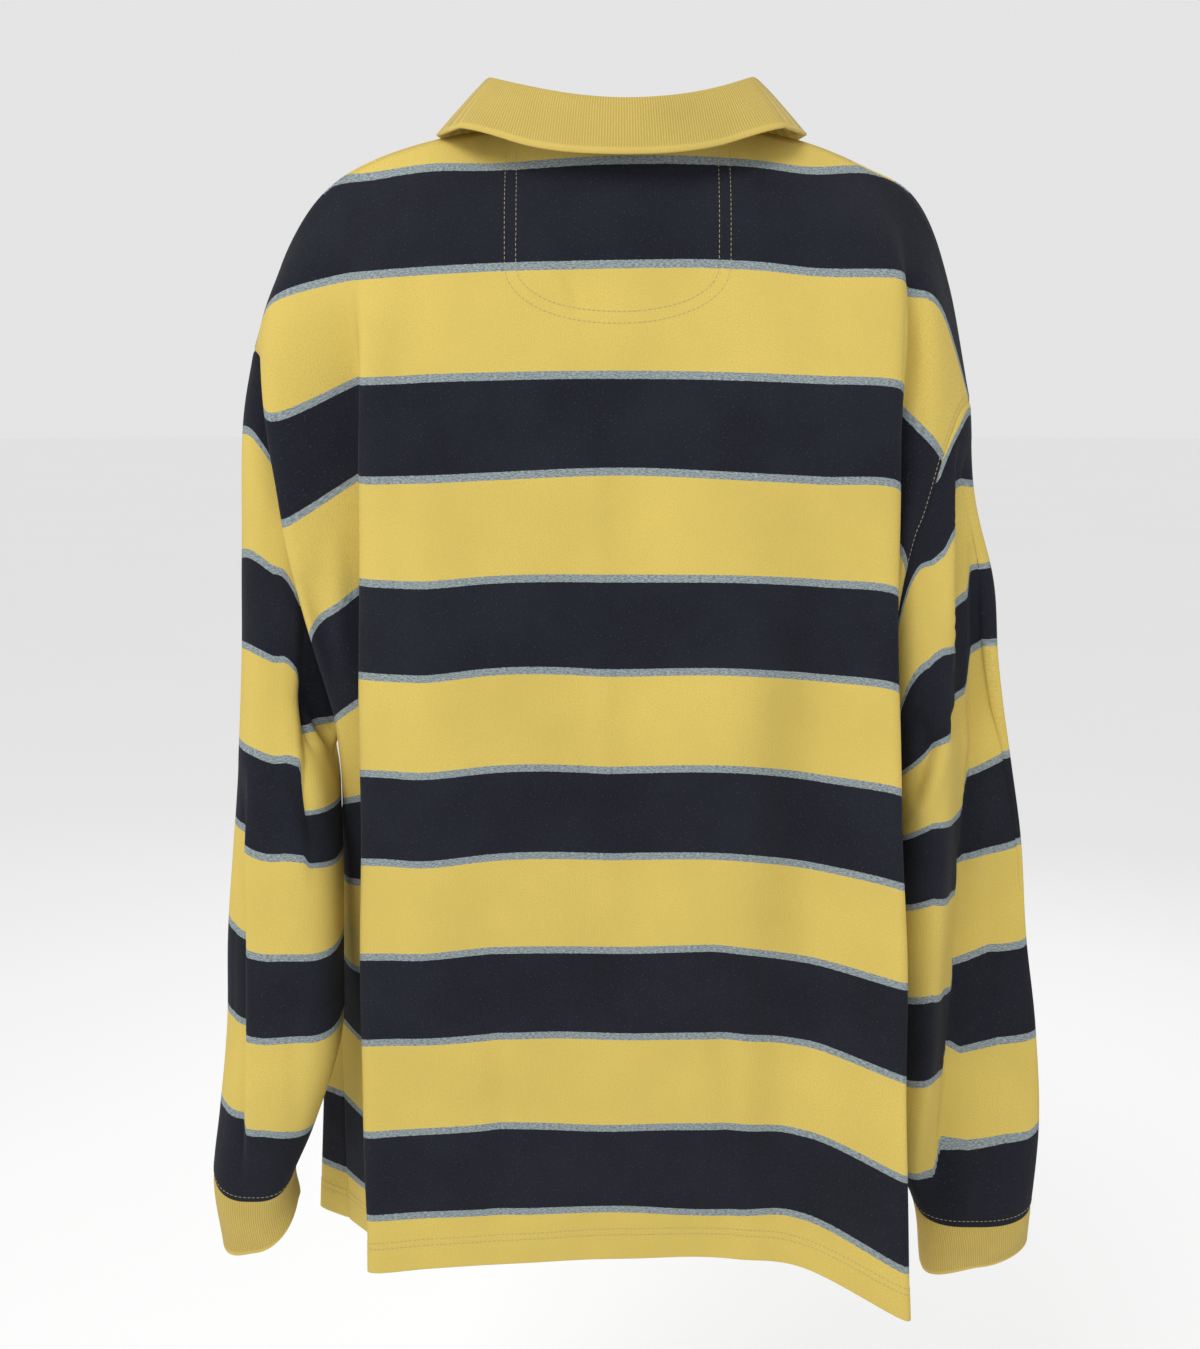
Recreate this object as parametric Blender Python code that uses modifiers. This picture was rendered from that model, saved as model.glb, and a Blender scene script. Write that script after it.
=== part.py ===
"""A long-sleeved rugby pullover as it hangs, hollow and unworn. Metres.

The back of the garment faces -Y, the wearer's right is +X and +Z is up. The origin is the middle of the
neck opening at the height of the two shoulder points, where the garment is held.

Cloth is placed by `down`, the distance along it below the shoulder points. Each panel is a grid: its
columns run down the cloth through the folds named in the tables, and its rows run across.
"""

import math

import bmesh
import bpy
import numpy as np

WALL = 0.002
SEAM_GAP = 0.00032  # between two panels sewn to each other
LAID_ON = 0.0026  # from the middle of a panel to the middle of a strip sewn on it

LENGTH = 0.838
SHOULDER_DROP = 0.055  # how far down the cloth the shoulder seam ends
UNDERARM = 0.37
SLEEVE_LENGTH = 0.6125
CUFF_LENGTH = 0.067
NECK_HALF_WIDTH = 0.090
NECK_DROPS = {"back": 0.020, "front": 0.078}  # of the neck edge's middle below its ends
NECK_DEPTHS = {"back": -0.038, "ends": -0.004, "front": 0.034}  # along Y
PLACKET_LENGTH = 0.150
PLACKET_HALF_WIDTH = 0.016
UNDER_BAND_HALF_WIDTH = 0.015
BAND_STEPS = 3
BAND_BELOW_NECK = 0.002
BUTTONS_AT = (0.035, 0.105)  # below the top of the placket
BUTTON_LIFT = 0.0015  # of a button's back above the middle of the upper band
BUTTON_SIDES = 16
BUTTON_PROFILE = (  # radius and height, from the hollow in the face round to the back
    (0.0, 0.0018), (0.0036, 0.0018), (0.0043, 0.0027), (0.0054, 0.0027), (0.0059, 0.0018), (0.0058, 0.0006),
    (0.0052, 0.0), (0.0, 0.0),
)
SCREW_MERGE = 0.00001
SHARP_ANGLE = 60
TINY = 1e-9

# Colour, roughness and sheen of each material, and the material of each piece.
MATERIAL_COLUMNS = ("colour", "roughness", "sheen")
MATERIALS = {
    "striped_jersey": ((0.70, 0.52, 0.13), 0.9, 0.3),
    "rib_knit": ((0.62, 0.46, 0.12), 0.9, 0.3),
    "placket_cloth": ((0.70, 0.52, 0.13), 0.9, 0.3),
    "button_plastic": ((0.80, 0.76, 0.66), 0.4, 0.0),
}
PIECE_MATERIALS = {
    "collar": "rib_knit",
    "cuff": "rib_knit",
    "placket": "placket_cloth",
    "button": "button_plastic",
}

ARMHOLE_ROWS, SIDE_ROWS = 12, 12
SLEEVE_ROWS = 19
CUFF_ROWS = 3
BOXY = 0.72  # 1 gives oval sleeves, less gives squarer ones
RIDGE_SOFTNESS = 0.004

# Sleeve and cuff rings, left then right. "outer" is the silhouette side, "inner" the underarm side, "bow"
# keeps the outer part of a ring level before it drops to the underarm, "sag" lowers its near side, "skew"
# shifts its near side to the body, and "step" sets the cloth outside "ridge" back behind a fold.
RING_COLUMNS = (
    "along", "outer_x", "outer_z", "inner_x", "inner_z", "middle_y", "half_deep", "bow", "sag", "skew",
    "ridge", "step",
)
SLEEVES = {
    "left": (
        (0.0000, -0.2596, -0.1490, -0.2070, -0.4200, 0.003, 0.021, 2.2, 0.000, 0.000, -0.3, 0.0),
        (0.0725, -0.2695, -0.2055, -0.2120, -0.4310, 0.002, 0.027, 2.4, 0.000, 0.000, -0.3, 0.0),
        (0.1445, -0.2755, -0.2955, -0.2160, -0.4460, 0.000, 0.031, 2.3, 0.002, 0.000, -0.3, 0.0),
        (0.2125, -0.2765, -0.3640, -0.2130, -0.4650, -0.003, 0.036, 1.9, 0.004, 0.000, -0.3, 0.0),
        (0.2845, -0.2800, -0.4395, -0.2115, -0.4930, -0.012, 0.039, 1.4, 0.006, 0.000, -0.3, 0.0),
        (0.3525, -0.2856, -0.5060, -0.2100, -0.5400, -0.020, 0.039, 1.1, 0.008, 0.000, -0.3, 0.0),
        (0.4245, -0.2935, -0.5805, -0.2120, -0.6020, -0.024, 0.038, 1.0, 0.009, 0.000, -0.3, 0.0),
        (0.4925, -0.2980, -0.6450, -0.2150, -0.6650, -0.024, 0.036, 1.0, 0.010, 0.000, -0.3, 0.0),
        (0.5645, -0.3071, -0.7206, -0.2370, -0.7360, -0.020, 0.033, 1.0, 0.010, 0.000, -0.3, 0.0),
        (0.6125, -0.3142, -0.7680, -0.2545, -0.7740, -0.017, 0.031, 1.0, 0.016, 0.000, -0.3, 0.0),
        (0.6800, -0.3115, -0.8270, -0.2540, -0.8030, -0.017, 0.027, 1.0, 0.018, 0.000, -0.3, 0.0),
    ),
    "right": (
        (0.0000, 0.2471, -0.1850, 0.2010, -0.4150, -0.012, 0.032, 1.35, 0.000, 0.016, 0.232, 0.000),
        (0.0725, 0.2530, -0.2450, 0.2020, -0.4260, -0.012, 0.037, 1.50, 0.000, 0.010, 0.239, 0.012),
        (0.1445, 0.2695, -0.3110, 0.2030, -0.4420, -0.012, 0.042, 1.40, 0.000, 0.004, 0.242, 0.026),
        (0.2125, 0.2765, -0.3710, 0.2035, -0.4600, -0.010, 0.045, 1.25, 0.000, 0.001, 0.244, 0.034),
        (0.2845, 0.2915, -0.4500, 0.2035, -0.5030, -0.008, 0.047, 1.10, 0.002, 0.000, 0.245, 0.040),
        (0.3525, 0.3040, -0.5150, 0.2045, -0.5560, -0.006, 0.047, 1.00, 0.003, 0.000, 0.245, 0.042),
        (0.4245, 0.3125, -0.5920, 0.2055, -0.6220, -0.005, 0.046, 1.00, 0.004, 0.000, 0.244, 0.040),
        (0.4925, 0.3240, -0.6630, 0.2080, -0.6890, -0.005, 0.043, 1.00, 0.005, 0.000, 0.242, 0.034),
        (0.5645, 0.3290, -0.7425, 0.2170, -0.7630, -0.005, 0.037, 1.00, 0.006, 0.000, 0.236, 0.018),
        (0.6125, 0.3257, -0.8054, 0.2360, -0.8110, -0.006, 0.030, 1.00, 0.008, 0.000, 0.230, 0.000),
        (0.6800, 0.3257, -0.8380, 0.2450, -0.8680, -0.006, 0.026, 1.00, 0.000, 0.000, 0.230, 0.000),
    ),
}
SIDES = {"left": -1, "right": 1}

# The shoulder and neck line, shared by both panels: down the cloth, then the place.
TOP_COLUMNS = ("down", "x", "y", "z")
TOP = {
    "flap_left": (0.043, -0.2320, -0.010, -0.0800),
    "tuck_left": (0.028, -0.2000, -0.006, -0.0370),
    "face_left": (0.020, -0.1700, -0.005, -0.0210),
    "bend_left": (0.009, -0.1260, -0.004, -0.0080),
    "neck_left": (0.000, -0.0900, -0.004, 0.0000),
    "neck_right": (0.000, 0.0900, -0.004, 0.0000),
    "bend_right": (0.009, 0.1260, -0.004, -0.0090),
    "face_right": (0.020, 0.1700, -0.005, -0.0250),
    "tuck_right": (0.028, 0.2000, -0.006, -0.0420),
    "flap_right": (0.043, 0.2300, -0.010, -0.1050),
}

# Each column of folds below that line, as rows of FOLD_COLUMNS. "slump" is how much lower the cloth hangs
# than a straight drop would take it.
FOLD_COLUMNS = ("down", "x", "y", "slump")
BACK_FOLDS = {
    "flap_left": (
        (0.100, -0.2370, -0.038, 0.020), (0.165, -0.2405, -0.046, 0.027), (0.233, -0.2340, -0.047, 0.032),
        (0.305, -0.2200, -0.044, 0.036), (0.370, -0.2065, -0.032, 0.035), (0.450, -0.2040, -0.008, 0.031),
        (0.590, -0.2060, 0.006, 0.030), (0.665, -0.2020, 0.006, 0.022), (0.845, -0.2040, 0.006, 0.008),
    ),
    "tuck_left": (
        (0.100, -0.1880, -0.042, 0.012), (0.165, -0.1800, -0.036, 0.016), (0.300, -0.1700, -0.030, 0.020),
        (0.450, -0.1710, -0.027, 0.021), (0.600, -0.1750, -0.025, 0.019), (0.700, -0.1800, -0.020, 0.012),
        (0.845, -0.1820, -0.018, 0.008),
    ),
    "face_left": (
        (0.100, -0.1720, -0.048, 0.006), (0.300, -0.1800, -0.052, 0.006), (0.450, -0.1840, -0.052, 0.008),
        (0.620, -0.1890, -0.052, 0.008), (0.845, -0.1930, -0.052, 0.006),
    ),
    "bend_left": (
        (0.050, -0.1290, -0.034, 0.001), (0.110, -0.1320, -0.048, 0.003), (0.845, -0.1450, -0.051, 0.003),
    ),
    "neck_left": (
        (0.050, -0.0900, -0.036, 0.000), (0.110, -0.0910, -0.048, 0.001), (0.845, -0.0930, -0.050, 0.000),
    ),
    "centre": ((0.060, 0.0, -0.046, 0.0), (0.120, 0.0, -0.050, 0.0), (0.845, 0.0, -0.050, -0.005)),
    "neck_right": (
        (0.050, 0.0900, -0.036, 0.000), (0.110, 0.0910, -0.049, 0.001), (0.845, 0.0900, -0.050, -0.004),
    ),
    "bend_right": (
        (0.050, 0.1290, -0.034, 0.001), (0.110, 0.1320, -0.050, 0.002), (0.460, 0.1400, -0.053, 0.001),
        (0.845, 0.1420, -0.055, -0.001),
    ),
    "face_right": (
        (0.100, 0.1850, -0.055, 0.006), (0.200, 0.1870, -0.060, 0.003), (0.318, 0.1900, -0.065, 0.004),
        (0.460, 0.1957, -0.078, 0.006), (0.610, 0.2019, -0.092, 0.006), (0.750, 0.2059, -0.104, 0.006),
        (0.845, 0.2097, -0.110, 0.006),
    ),
    "tuck_right": (
        (0.100, 0.1920, -0.045, 0.020), (0.165, 0.1880, -0.042, 0.030), (0.250, 0.1840, -0.036, 0.035),
        (0.370, 0.1830, -0.036, 0.030), (0.500, 0.1860, -0.046, 0.020), (0.650, 0.1890, -0.056, 0.012),
        (0.845, 0.1950, -0.066, 0.008),
    ),
    "flap_right": (
        (0.100, 0.2170, -0.040, 0.032), (0.165, 0.2110, -0.046, 0.044), (0.250, 0.1945, -0.044, 0.056),
        (0.330, 0.1910, -0.034, 0.058), (0.420, 0.1890, -0.028, 0.042), (0.520, 0.1880, -0.030, 0.030),
        (0.650, 0.1900, -0.032, 0.015), (0.845, 0.1925, -0.036, 0.008),
    ),
}
FRONT_FOLDS = {
    "flap_left": (
        (0.100, -0.2300, 0.012, 0.024), (0.165, -0.2280, 0.022, 0.034), (0.250, -0.2110, 0.026, 0.040),
        (0.370, -0.2000, 0.022, 0.042), (0.450, -0.2080, 0.038, 0.034), (0.600, -0.2270, 0.044, 0.020),
        (0.720, -0.2420, 0.048, 0.012), (0.845, -0.2480, 0.048, 0.010),
    ),
    "tuck_left": (
        (0.100, -0.1920, 0.020, 0.012), (0.250, -0.1900, 0.032, 0.014), (0.450, -0.1850, 0.037, 0.012),
        (0.700, -0.2020, 0.046, 0.010), (0.845, -0.2080, 0.047, 0.008),
    ),
    "face_left": (
        (0.100, -0.1650, 0.023, 0.004), (0.250, -0.1620, 0.035, 0.004), (0.845, -0.1650, 0.043, 0.004),
    ),
    "bend_left": (
        (0.050, -0.1280, 0.014, 0.002), (0.200, -0.1250, 0.034, 0.002), (0.845, -0.1250, 0.040, 0.002),
    ),
    "neck_left": ((0.050, -0.0890, 0.018, 0.0), (0.200, -0.0850, 0.034, 0.0), (0.845, -0.0850, 0.038, 0.0)),
    "placket_left": ((0.260, -0.0120, 0.040, 0.0), (0.845, -0.0120, 0.042, 0.0)),
    "placket_right": ((0.260, 0.0120, 0.040, 0.0), (0.845, 0.0120, 0.042, 0.0)),
    "neck_right": ((0.050, 0.0890, 0.018, 0.0), (0.200, 0.0850, 0.034, 0.0), (0.845, 0.0850, 0.036, 0.0)),
    "bend_right": (
        (0.050, 0.1280, 0.014, 0.002), (0.200, 0.1240, 0.032, 0.002), (0.845, 0.1220, 0.035, 0.002),
    ),
    "face_right": (
        (0.100, 0.1650, 0.023, 0.004), (0.250, 0.1600, 0.032, 0.004), (0.845, 0.1550, 0.034, 0.004),
    ),
    "tuck_right": (
        (0.100, 0.1920, 0.018, 0.020), (0.250, 0.1800, 0.028, 0.026), (0.450, 0.1740, 0.028, 0.016),
        (0.845, 0.1820, 0.026, 0.008),
    ),
    "flap_right": (
        (0.100, 0.2200, 0.010, 0.040), (0.165, 0.2170, 0.018, 0.052), (0.250, 0.2020, 0.022, 0.056),
        (0.370, 0.1930, 0.016, 0.046), (0.450, 0.1890, 0.014, 0.030), (0.650, 0.1890, 0.012, 0.014),
        (0.845, 0.1930, 0.010, 0.008),
    ),
}
# The side seams below the underarm, shared by both panels.
SIDE_SEAMS = {
    "left": (
        (0.420, -0.2090, 0.018, 0.045), (0.460, -0.2160, 0.029, 0.040), (0.540, -0.2210, 0.033, 0.028),
        (0.620, -0.2230, 0.033, 0.020), (0.720, -0.2240, 0.031, 0.012),
        (0.845, -0.2220, 0.029, 0.010),
    ),
    "right": (
        (0.420, 0.1900, -0.008, 0.038), (0.520, 0.1880, -0.004, 0.022), (0.650, 0.1870, -0.004, 0.012),
        (0.845, 0.1885, -0.006, 0.008),
    ),
}
# Columns of faces from a side seam inwards, fold by fold, then from a neck point to the centre back or to
# the placket, and across the placket.
OUTER_STEPS = (("flap", 3), ("tuck", 3), ("face", 2), ("bend", 2), ("neck", 2))
NECK_STEPS = 5
SLIT_STEPS = 2

# The collar in upright sections, from the front end to the centre back: heights and reaches from the neck
# edge, outwards being away from the middle of the neck.
COLLAR_LEAN = 0.75  # how far the stand turns square to a sloping neck edge: 0 keeps it upright
LEAN_ENDS, LEAN_FADE = 0.45, 0.2  # the place round the collar past which it is upright, and its fading in
COLLAR_STAND = ((0.5, 0.35), (0.93, 0.9))  # shares of the stand's height and of the fold's reach
COLLAR_ROLL = 0.002  # how far the fold rises over the stand
ROLL_REACH = 0.0032
FALL_REACH = 0.0045  # from the stand to the fall at the fold
COLLAR_FALL = ((0.12, 0.0018), (0.5, 0.0012), (1.0, 0.0))  # shares of the fall, and how far it bellies out
EDGE_TURN = 0.6  # below 1, the fall swings to the collar's corners early
COLLAR_COLUMNS = ("round", "stand", "fold_out", "fall", "edge_out", "edge_side", "edge_fore")
COLLAR = (
    (0.00, 0.024, 0.006, 0.058, 0.008, 0.024, 0.004),
    (0.25, 0.029, 0.004, 0.052, 0.018, 0.010, 0.016),
    (0.50, 0.031, -0.003, 0.0345, 0.033, 0.000, 0.000),
    (0.72, 0.031, 0.001, 0.036, 0.020, 0.000, 0.000),
    (1.00, 0.030, 0.004, 0.035, 0.017, 0.000, 0.000),
)


def smooth(table, at):
    """The table's other columns at the given values of its first, along a smooth curve through its rows."""
    table = np.array(table, float)
    knots, values = table[:, 0], table[:, 1:]
    slopes = np.gradient(values, knots, axis=0)
    at = np.clip(np.asarray(at, float), knots[0], knots[-1])
    left = np.clip(np.searchsorted(knots, at, side="right") - 1, 0, len(knots) - 2)
    gap = (knots[left + 1] - knots[left])[..., None]
    part = (at - knots[left])[..., None] / gap
    return (
        (1 + 2 * part) * (1 - part) ** 2 * values[left]
        + part * (1 - part) ** 2 * gap * slopes[left]
        + part**2 * (3 - 2 * part) * values[left + 1]
        - part**2 * (1 - part) * gap * slopes[left + 1]
    )


def sleeve_points(side, along, angle):
    """Points on a sleeve. The angle is 0 at its outer edge and a quarter turn at the side nearest -Y."""
    along, angle = np.broadcast_arrays(along, angle)
    row = dict(zip(RING_COLUMNS[1:], np.moveaxis(smooth(SLEEVES[side], along), -1, 0)))
    out, near = np.cos(angle), np.sin(angle)
    facing = np.maximum(near, 0)
    across = np.sign(out) * np.abs(out) ** BOXY
    x = (row["outer_x"] + row["inner_x"]) / 2 + (row["outer_x"] - row["inner_x"]) / 2 * across
    x = x - SIDES[side] * row["skew"] * facing
    y = row["middle_y"] - row["half_deep"] * np.sign(near) * np.abs(near) ** BOXY
    behind = 1 / (1 + np.exp(-SIDES[side] * (x - row["ridge"]) / RIDGE_SOFTNESS))
    y = y + row["step"] * behind * facing
    fallen = np.maximum((1 - out) / 2, 0) ** row["bow"]
    z = row["outer_z"] - (row["outer_z"] - row["inner_z"]) * fallen - row["sag"] * facing
    return np.stack([x, y, z], -1)


def seam_column(side, downs, turn):
    """The panel's edge at each row: the armhole, half round the sleeve's end, then the side seam."""
    reached = (downs - SHOULDER_DROP) / (UNDERARM - SHOULDER_DROP)
    armhole = sleeve_points(side, 0.0, turn * math.pi * np.clip(reached, 0, 1))
    underarm = sleeve_points(side, 0.0, math.pi)
    start = (UNDERARM, underarm[0], underarm[1], -UNDERARM - underarm[2])
    x, y, slump = smooth((start,) + SIDE_SEAMS[side], downs).T
    below = np.stack([x, y, -downs - slump], -1)
    return np.where(reached[:, None] <= 1 + TINY, armhole, below)


def fold_column(top, folds, downs):
    """A column of the cloth from its top, a row of TOP_COLUMNS, down through its folds."""
    first = (top[0], top[1], top[2], -top[3] - top[0])
    x, y, slump = smooth((first,) + folds, downs).T
    return np.stack([x, y, -downs - slump], -1)


def row_shares():
    """How far down each row lies, as a share of a column: even along the armhole, then to the hem."""
    to_underarm = (UNDERARM - SHOULDER_DROP) / (LENGTH - SHOULDER_DROP)
    upper = np.linspace(0, to_underarm, ARMHOLE_ROWS + 1)
    return np.concatenate([upper, np.linspace(to_underarm, 1, SIDE_ROWS + 1)[1:]])


def panel_columns(front):
    """The folds across a panel from its left seam to its right, and the columns between each two."""
    outer, steps = zip(*OUTER_STEPS)
    if front:
        middle, middle_steps = ["placket_left", "placket_right"], (NECK_STEPS, SLIT_STEPS, NECK_STEPS)
    else:
        middle, middle_steps = ["centre"], (NECK_STEPS, NECK_STEPS)
    names = [f"{name}_left" for name in outer] + middle + [f"{name}_right" for name in reversed(outer)]
    return names, steps + middle_steps + steps[::-1]


def neck_top(x, front):
    """The neck edge's row of TOP_COLUMNS at this place between the neck points."""
    dip = 1 - (x / NECK_HALF_WIDTH) ** 2
    side = "front" if front else "back"
    depth = NECK_DEPTHS["ends"] + (NECK_DEPTHS[side] - NECK_DEPTHS["ends"]) * dip
    drop = NECK_DROPS[side] * dip
    return (drop, x, depth, -drop)


def top_edge(tops, knots, placed, front):
    """The shoulder seams and neck edge, the seams the same on both panels, with their distance down."""
    edge = np.array(tops, float)
    line = np.empty((knots[-1] + 1, 4))
    left, right = placed["neck_left"], placed["neck_right"]
    first, last = edge[knots <= left], edge[knots >= right]
    line[: left + 1] = smooth(np.column_stack([knots[knots <= left], first]), np.arange(left + 1))
    after = np.arange(right, knots[-1] + 1)
    line[right:] = smooth(np.column_stack([knots[knots >= right], last]), after)
    across = smooth(np.column_stack([knots, edge[:, 1]]), np.arange(left, right + 1))[:, 0]
    across = across * NECK_HALF_WIDTH / abs(across[0])
    line[left : right + 1] = [neck_top(x, front) for x in across]
    return line[:, 1:], line[:, 0]


def panel(front):
    """The middle surface of a panel as points[row][column], with each point's distance down the cloth."""
    folds = FRONT_FOLDS if front else BACK_FOLDS
    names, steps = panel_columns(front)
    shares = row_shares()
    turn = -1 if front else 1
    knots = np.concatenate([[0], np.cumsum(steps)])
    tops = [(SHOULDER_DROP, *sleeve_points("left", 0.0, 0.0))]
    for name in names:
        x = folds[name][0][1] if name.startswith(("centre", "placket")) else None
        tops.append(TOP[name] if x is None else neck_top(x, front))
    tops.append((SHOULDER_DROP, *sleeve_points("right", 0.0, 0.0)))
    columns = []
    for index, top in enumerate(tops):
        down = top[0] + (LENGTH - top[0]) * shares
        if index == 0:
            columns.append(seam_column("left", down, turn))
        elif index == len(tops) - 1:
            columns.append(seam_column("right", down, turn))
        else:
            columns.append(fold_column(top, folds[names[index - 1]], down))
    columns = np.array(columns)
    at = np.arange(knots[-1] + 1)
    points = np.stack(
        [smooth(np.column_stack([knots, columns[:, row]]), at) for row in range(len(shares))]
    )
    placed = dict(zip(names, knots[1:-1]))
    points[0], down = top_edge(tops, knots, placed, front)
    return points, down[None, :] + (LENGTH - down[None, :]) * shares[:, None], placed


def grid_faces(rows, columns, closed=False, flip=False, left_out=()):
    """Quads over a grid of points numbered row by row."""
    faces = []
    for row in range(rows - 1):
        for column in range(columns if closed else columns - 1):
            if (row, column) in left_out:
                continue
            beside = (column + 1) % columns
            quad = (
                row * columns + column,
                (row + 1) * columns + column,
                (row + 1) * columns + beside,
                row * columns + beside,
            )
            faces.append(quad[::-1] if flip else quad)
    return faces


def sewn_normals(pieces):
    """Outward normals for every piece's points, averaged across the seams that pieces share."""
    places, normals = {}, []
    for points, faces in pieces:
        for face in faces:
            corners = points[list(face)]
            across = np.cross(corners[2] - corners[0], corners[3] - corners[1])
            for corner in corners:
                key = tuple(np.round(corner, 5))
                places[key] = places.get(key, 0) + across
    for points, _ in pieces:
        found = np.array([places.get(tuple(np.round(point, 5)), np.zeros(3)) for point in points])
        normals.append(unit(found))
    return normals


def unit(vectors):
    return vectors / np.maximum(np.linalg.norm(vectors, axis=1, keepdims=True), TINY)


def edges_once(faces):
    """The boundary of a grid, as directed edges of the faces that hold them."""
    held = {}
    for face in faces:
        for first, second in zip(face, face[1:] + face[:1]):
            held.setdefault(frozenset((first, second)), []).append((first, second))
    return [found[0] for found in held.values() if len(found) == 1]


def pulled_in(points, faces, normals, gap):
    """The points with those on the boundary moved to their own side of the seam, by half its gap."""
    boundary = {point for edge in edges_once(faces) for point in edge}
    inward = np.zeros_like(points)
    for face in faces:
        middle = points[list(face)].mean(axis=0)
        for point in face:
            if point in boundary:
                inward[point] += middle - points[point]
    along = np.zeros_like(points)
    for first, second in edges_once(faces):
        way = points[second] - points[first]
        along[first] += way
        along[second] += way
    along = unit(along)
    for way in (along, normals, along):
        inward -= (inward * way).sum(axis=1, keepdims=True) * way
    return points + unit(inward) * gap


def wall(name, points, faces, normals, collection):
    """A closed cloth wall over the faces: two layers and the strip that joins them round each edge."""
    drawn = pulled_in(points, faces, normals, SEAM_GAP / 2)
    used = sorted({point for face in faces for point in face})
    number = {point: index for index, point in enumerate(used)}
    count = len(used)
    outer = drawn[used] + normals[used] * WALL / 2
    inner = drawn[used] - normals[used] * WALL / 2
    quads = [tuple(number[point] for point in face) for face in faces]
    quads += [tuple(number[point] + count for point in reversed(face)) for face in faces]
    for first, second in edges_once(faces):
        first, second = number[first], number[second]
        quads.append((second, first, first + count, second + count))
    mesh = bpy.data.meshes.new(name)
    mesh.from_pydata(np.vstack([outer, inner]).tolist(), [], quads)
    shell = bmesh.new()
    shell.from_mesh(mesh)
    bmesh.ops.triangulate(shell, faces=shell.faces[:], quad_method="SHORT_EDGE")
    shell.to_mesh(mesh)
    shell.free()
    mesh.shade_smooth()
    mesh.set_sharp_from_angle(angle=math.radians(SHARP_ANGLE))
    finish(bpy.data.objects.new(name, mesh), collection)


def sleeve_grid(side, begin, end, rows):
    angles = 2 * math.pi * np.arange(2 * ARMHOLE_ROWS) / (2 * ARMHOLE_ROWS)
    along = np.linspace(begin, end, rows + 1)
    points = sleeve_points(side, along[:, None], angles[None, :])
    faces = grid_faces(rows + 1, len(angles), closed=True, flip=side == "right")
    return points.reshape(-1, 3), faces


def collar_grid(back, back_at, front, front_at):
    """The collar from the front's left end round the back to the right end, on the panels' neck edges."""
    left = front[0, front_at["neck_left"] : front_at["placket_left"] + 1][::-1]
    behind = back[0, back_at["neck_left"] : back_at["neck_right"] + 1]
    right = front[0, front_at["placket_right"] : front_at["neck_right"] + 1][::-1]
    neck = np.vstack([left[:-1], behind, right[1:]])
    count = len(neck)
    half = (count - 1) / 2
    front_count = len(left) - 1
    steps = half - np.abs(np.arange(count) - half)
    rounds = np.where(
        steps < front_count,
        0.5 * steps / front_count,
        0.5 + 0.5 * (steps - front_count) / (half - front_count),
    )
    stand, fold_out, fall, edge_out, edge_side, edge_fore = smooth(COLLAR, rounds).T
    way = np.gradient(neck, axis=0)
    out = unit(np.column_stack([way[:, 1], -way[:, 0], np.zeros(count)]))
    upright = np.array([0, 0, 1.0])
    turned = np.column_stack([np.sign(neck[:, 0]) * edge_side, edge_fore, np.zeros(count)])
    way = unit(way)
    lean = COLLAR_LEAN * np.clip((LEAN_ENDS - rounds) / LEAN_FADE, 0, 1)[:, None]
    up = unit(upright - lean * way[:, 2:] * way)
    rows = [neck]
    for height, reach in COLLAR_STAND:
        rows.append(neck + up * stand[:, None] * height + out * (fold_out * reach)[:, None])
    folded = neck + up * (stand[:, None] + COLLAR_ROLL)
    rows.append(folded + out * (fold_out[:, None] + ROLL_REACH))
    for share, belly in COLLAR_FALL:
        reach = fold_out + FALL_REACH + (edge_out - fold_out) * share + belly
        fallen = upright * (COLLAR_ROLL + fall * share)[:, None]
        rows.append(folded - fallen + out * reach[:, None] + turned * share**EDGE_TURN)
    return np.concatenate(rows), grid_faces(len(rows), count, flip=True)


def band_grid(front, rows, half_width, offset):
    """A placket band over the slit, made from the front panel's points moved out or in."""
    across = np.linspace(-half_width, half_width, BAND_STEPS + 1)
    points = np.stack(
        [
            np.column_stack([across] + [np.interp(across, row[:, 0], row[:, axis]) for axis in (1, 2)])
            for row in front[: rows + 1]
        ]
    )
    points[..., 1] += offset
    points[0, :, 2] -= BAND_BELOW_NECK
    return points.reshape(-1, 3), grid_faces(rows + 1, BAND_STEPS + 1, flip=True), points


def button(name, middle, collection):
    """A round button with a raised rim, turned about +Y from the point it sits on."""
    mesh = bpy.data.meshes.new(name)
    profile = [(radius, 0, height) for radius, height in BUTTON_PROFILE]
    mesh.from_pydata(profile, [(index, index + 1) for index in range(len(profile) - 1)], [])
    turned = bpy.data.objects.new(name, mesh)
    turned.location = middle
    turned.rotation_euler = (-math.pi / 2, 0, 0)
    screw = turned.modifiers.new("Turned", "SCREW")
    screw.axis = "Z"
    screw.steps = screw.render_steps = BUTTON_SIDES
    screw.use_merge_vertices = True
    screw.merge_threshold = SCREW_MERGE
    screw.use_smooth_shade = True
    finish(turned, collection)


def material_of(name):
    kind = PIECE_MATERIALS.get(name.split("_")[0], "striped_jersey")
    if kind in bpy.data.materials:
        return bpy.data.materials[kind]
    colour, roughness, sheen = MATERIALS[kind]
    material = bpy.data.materials.new(kind)
    material.use_nodes = True
    surface = material.node_tree.nodes["Principled BSDF"]
    surface.inputs["Base Color"].default_value = (*colour, 1)
    surface.inputs["Roughness"].default_value = roughness
    surface.inputs["Metallic"].default_value = 0
    surface.inputs["Sheen Weight"].default_value = sheen
    return material


def finish(piece, collection):
    piece.data.materials.append(material_of(piece.name))
    collection.objects.link(piece)


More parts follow.
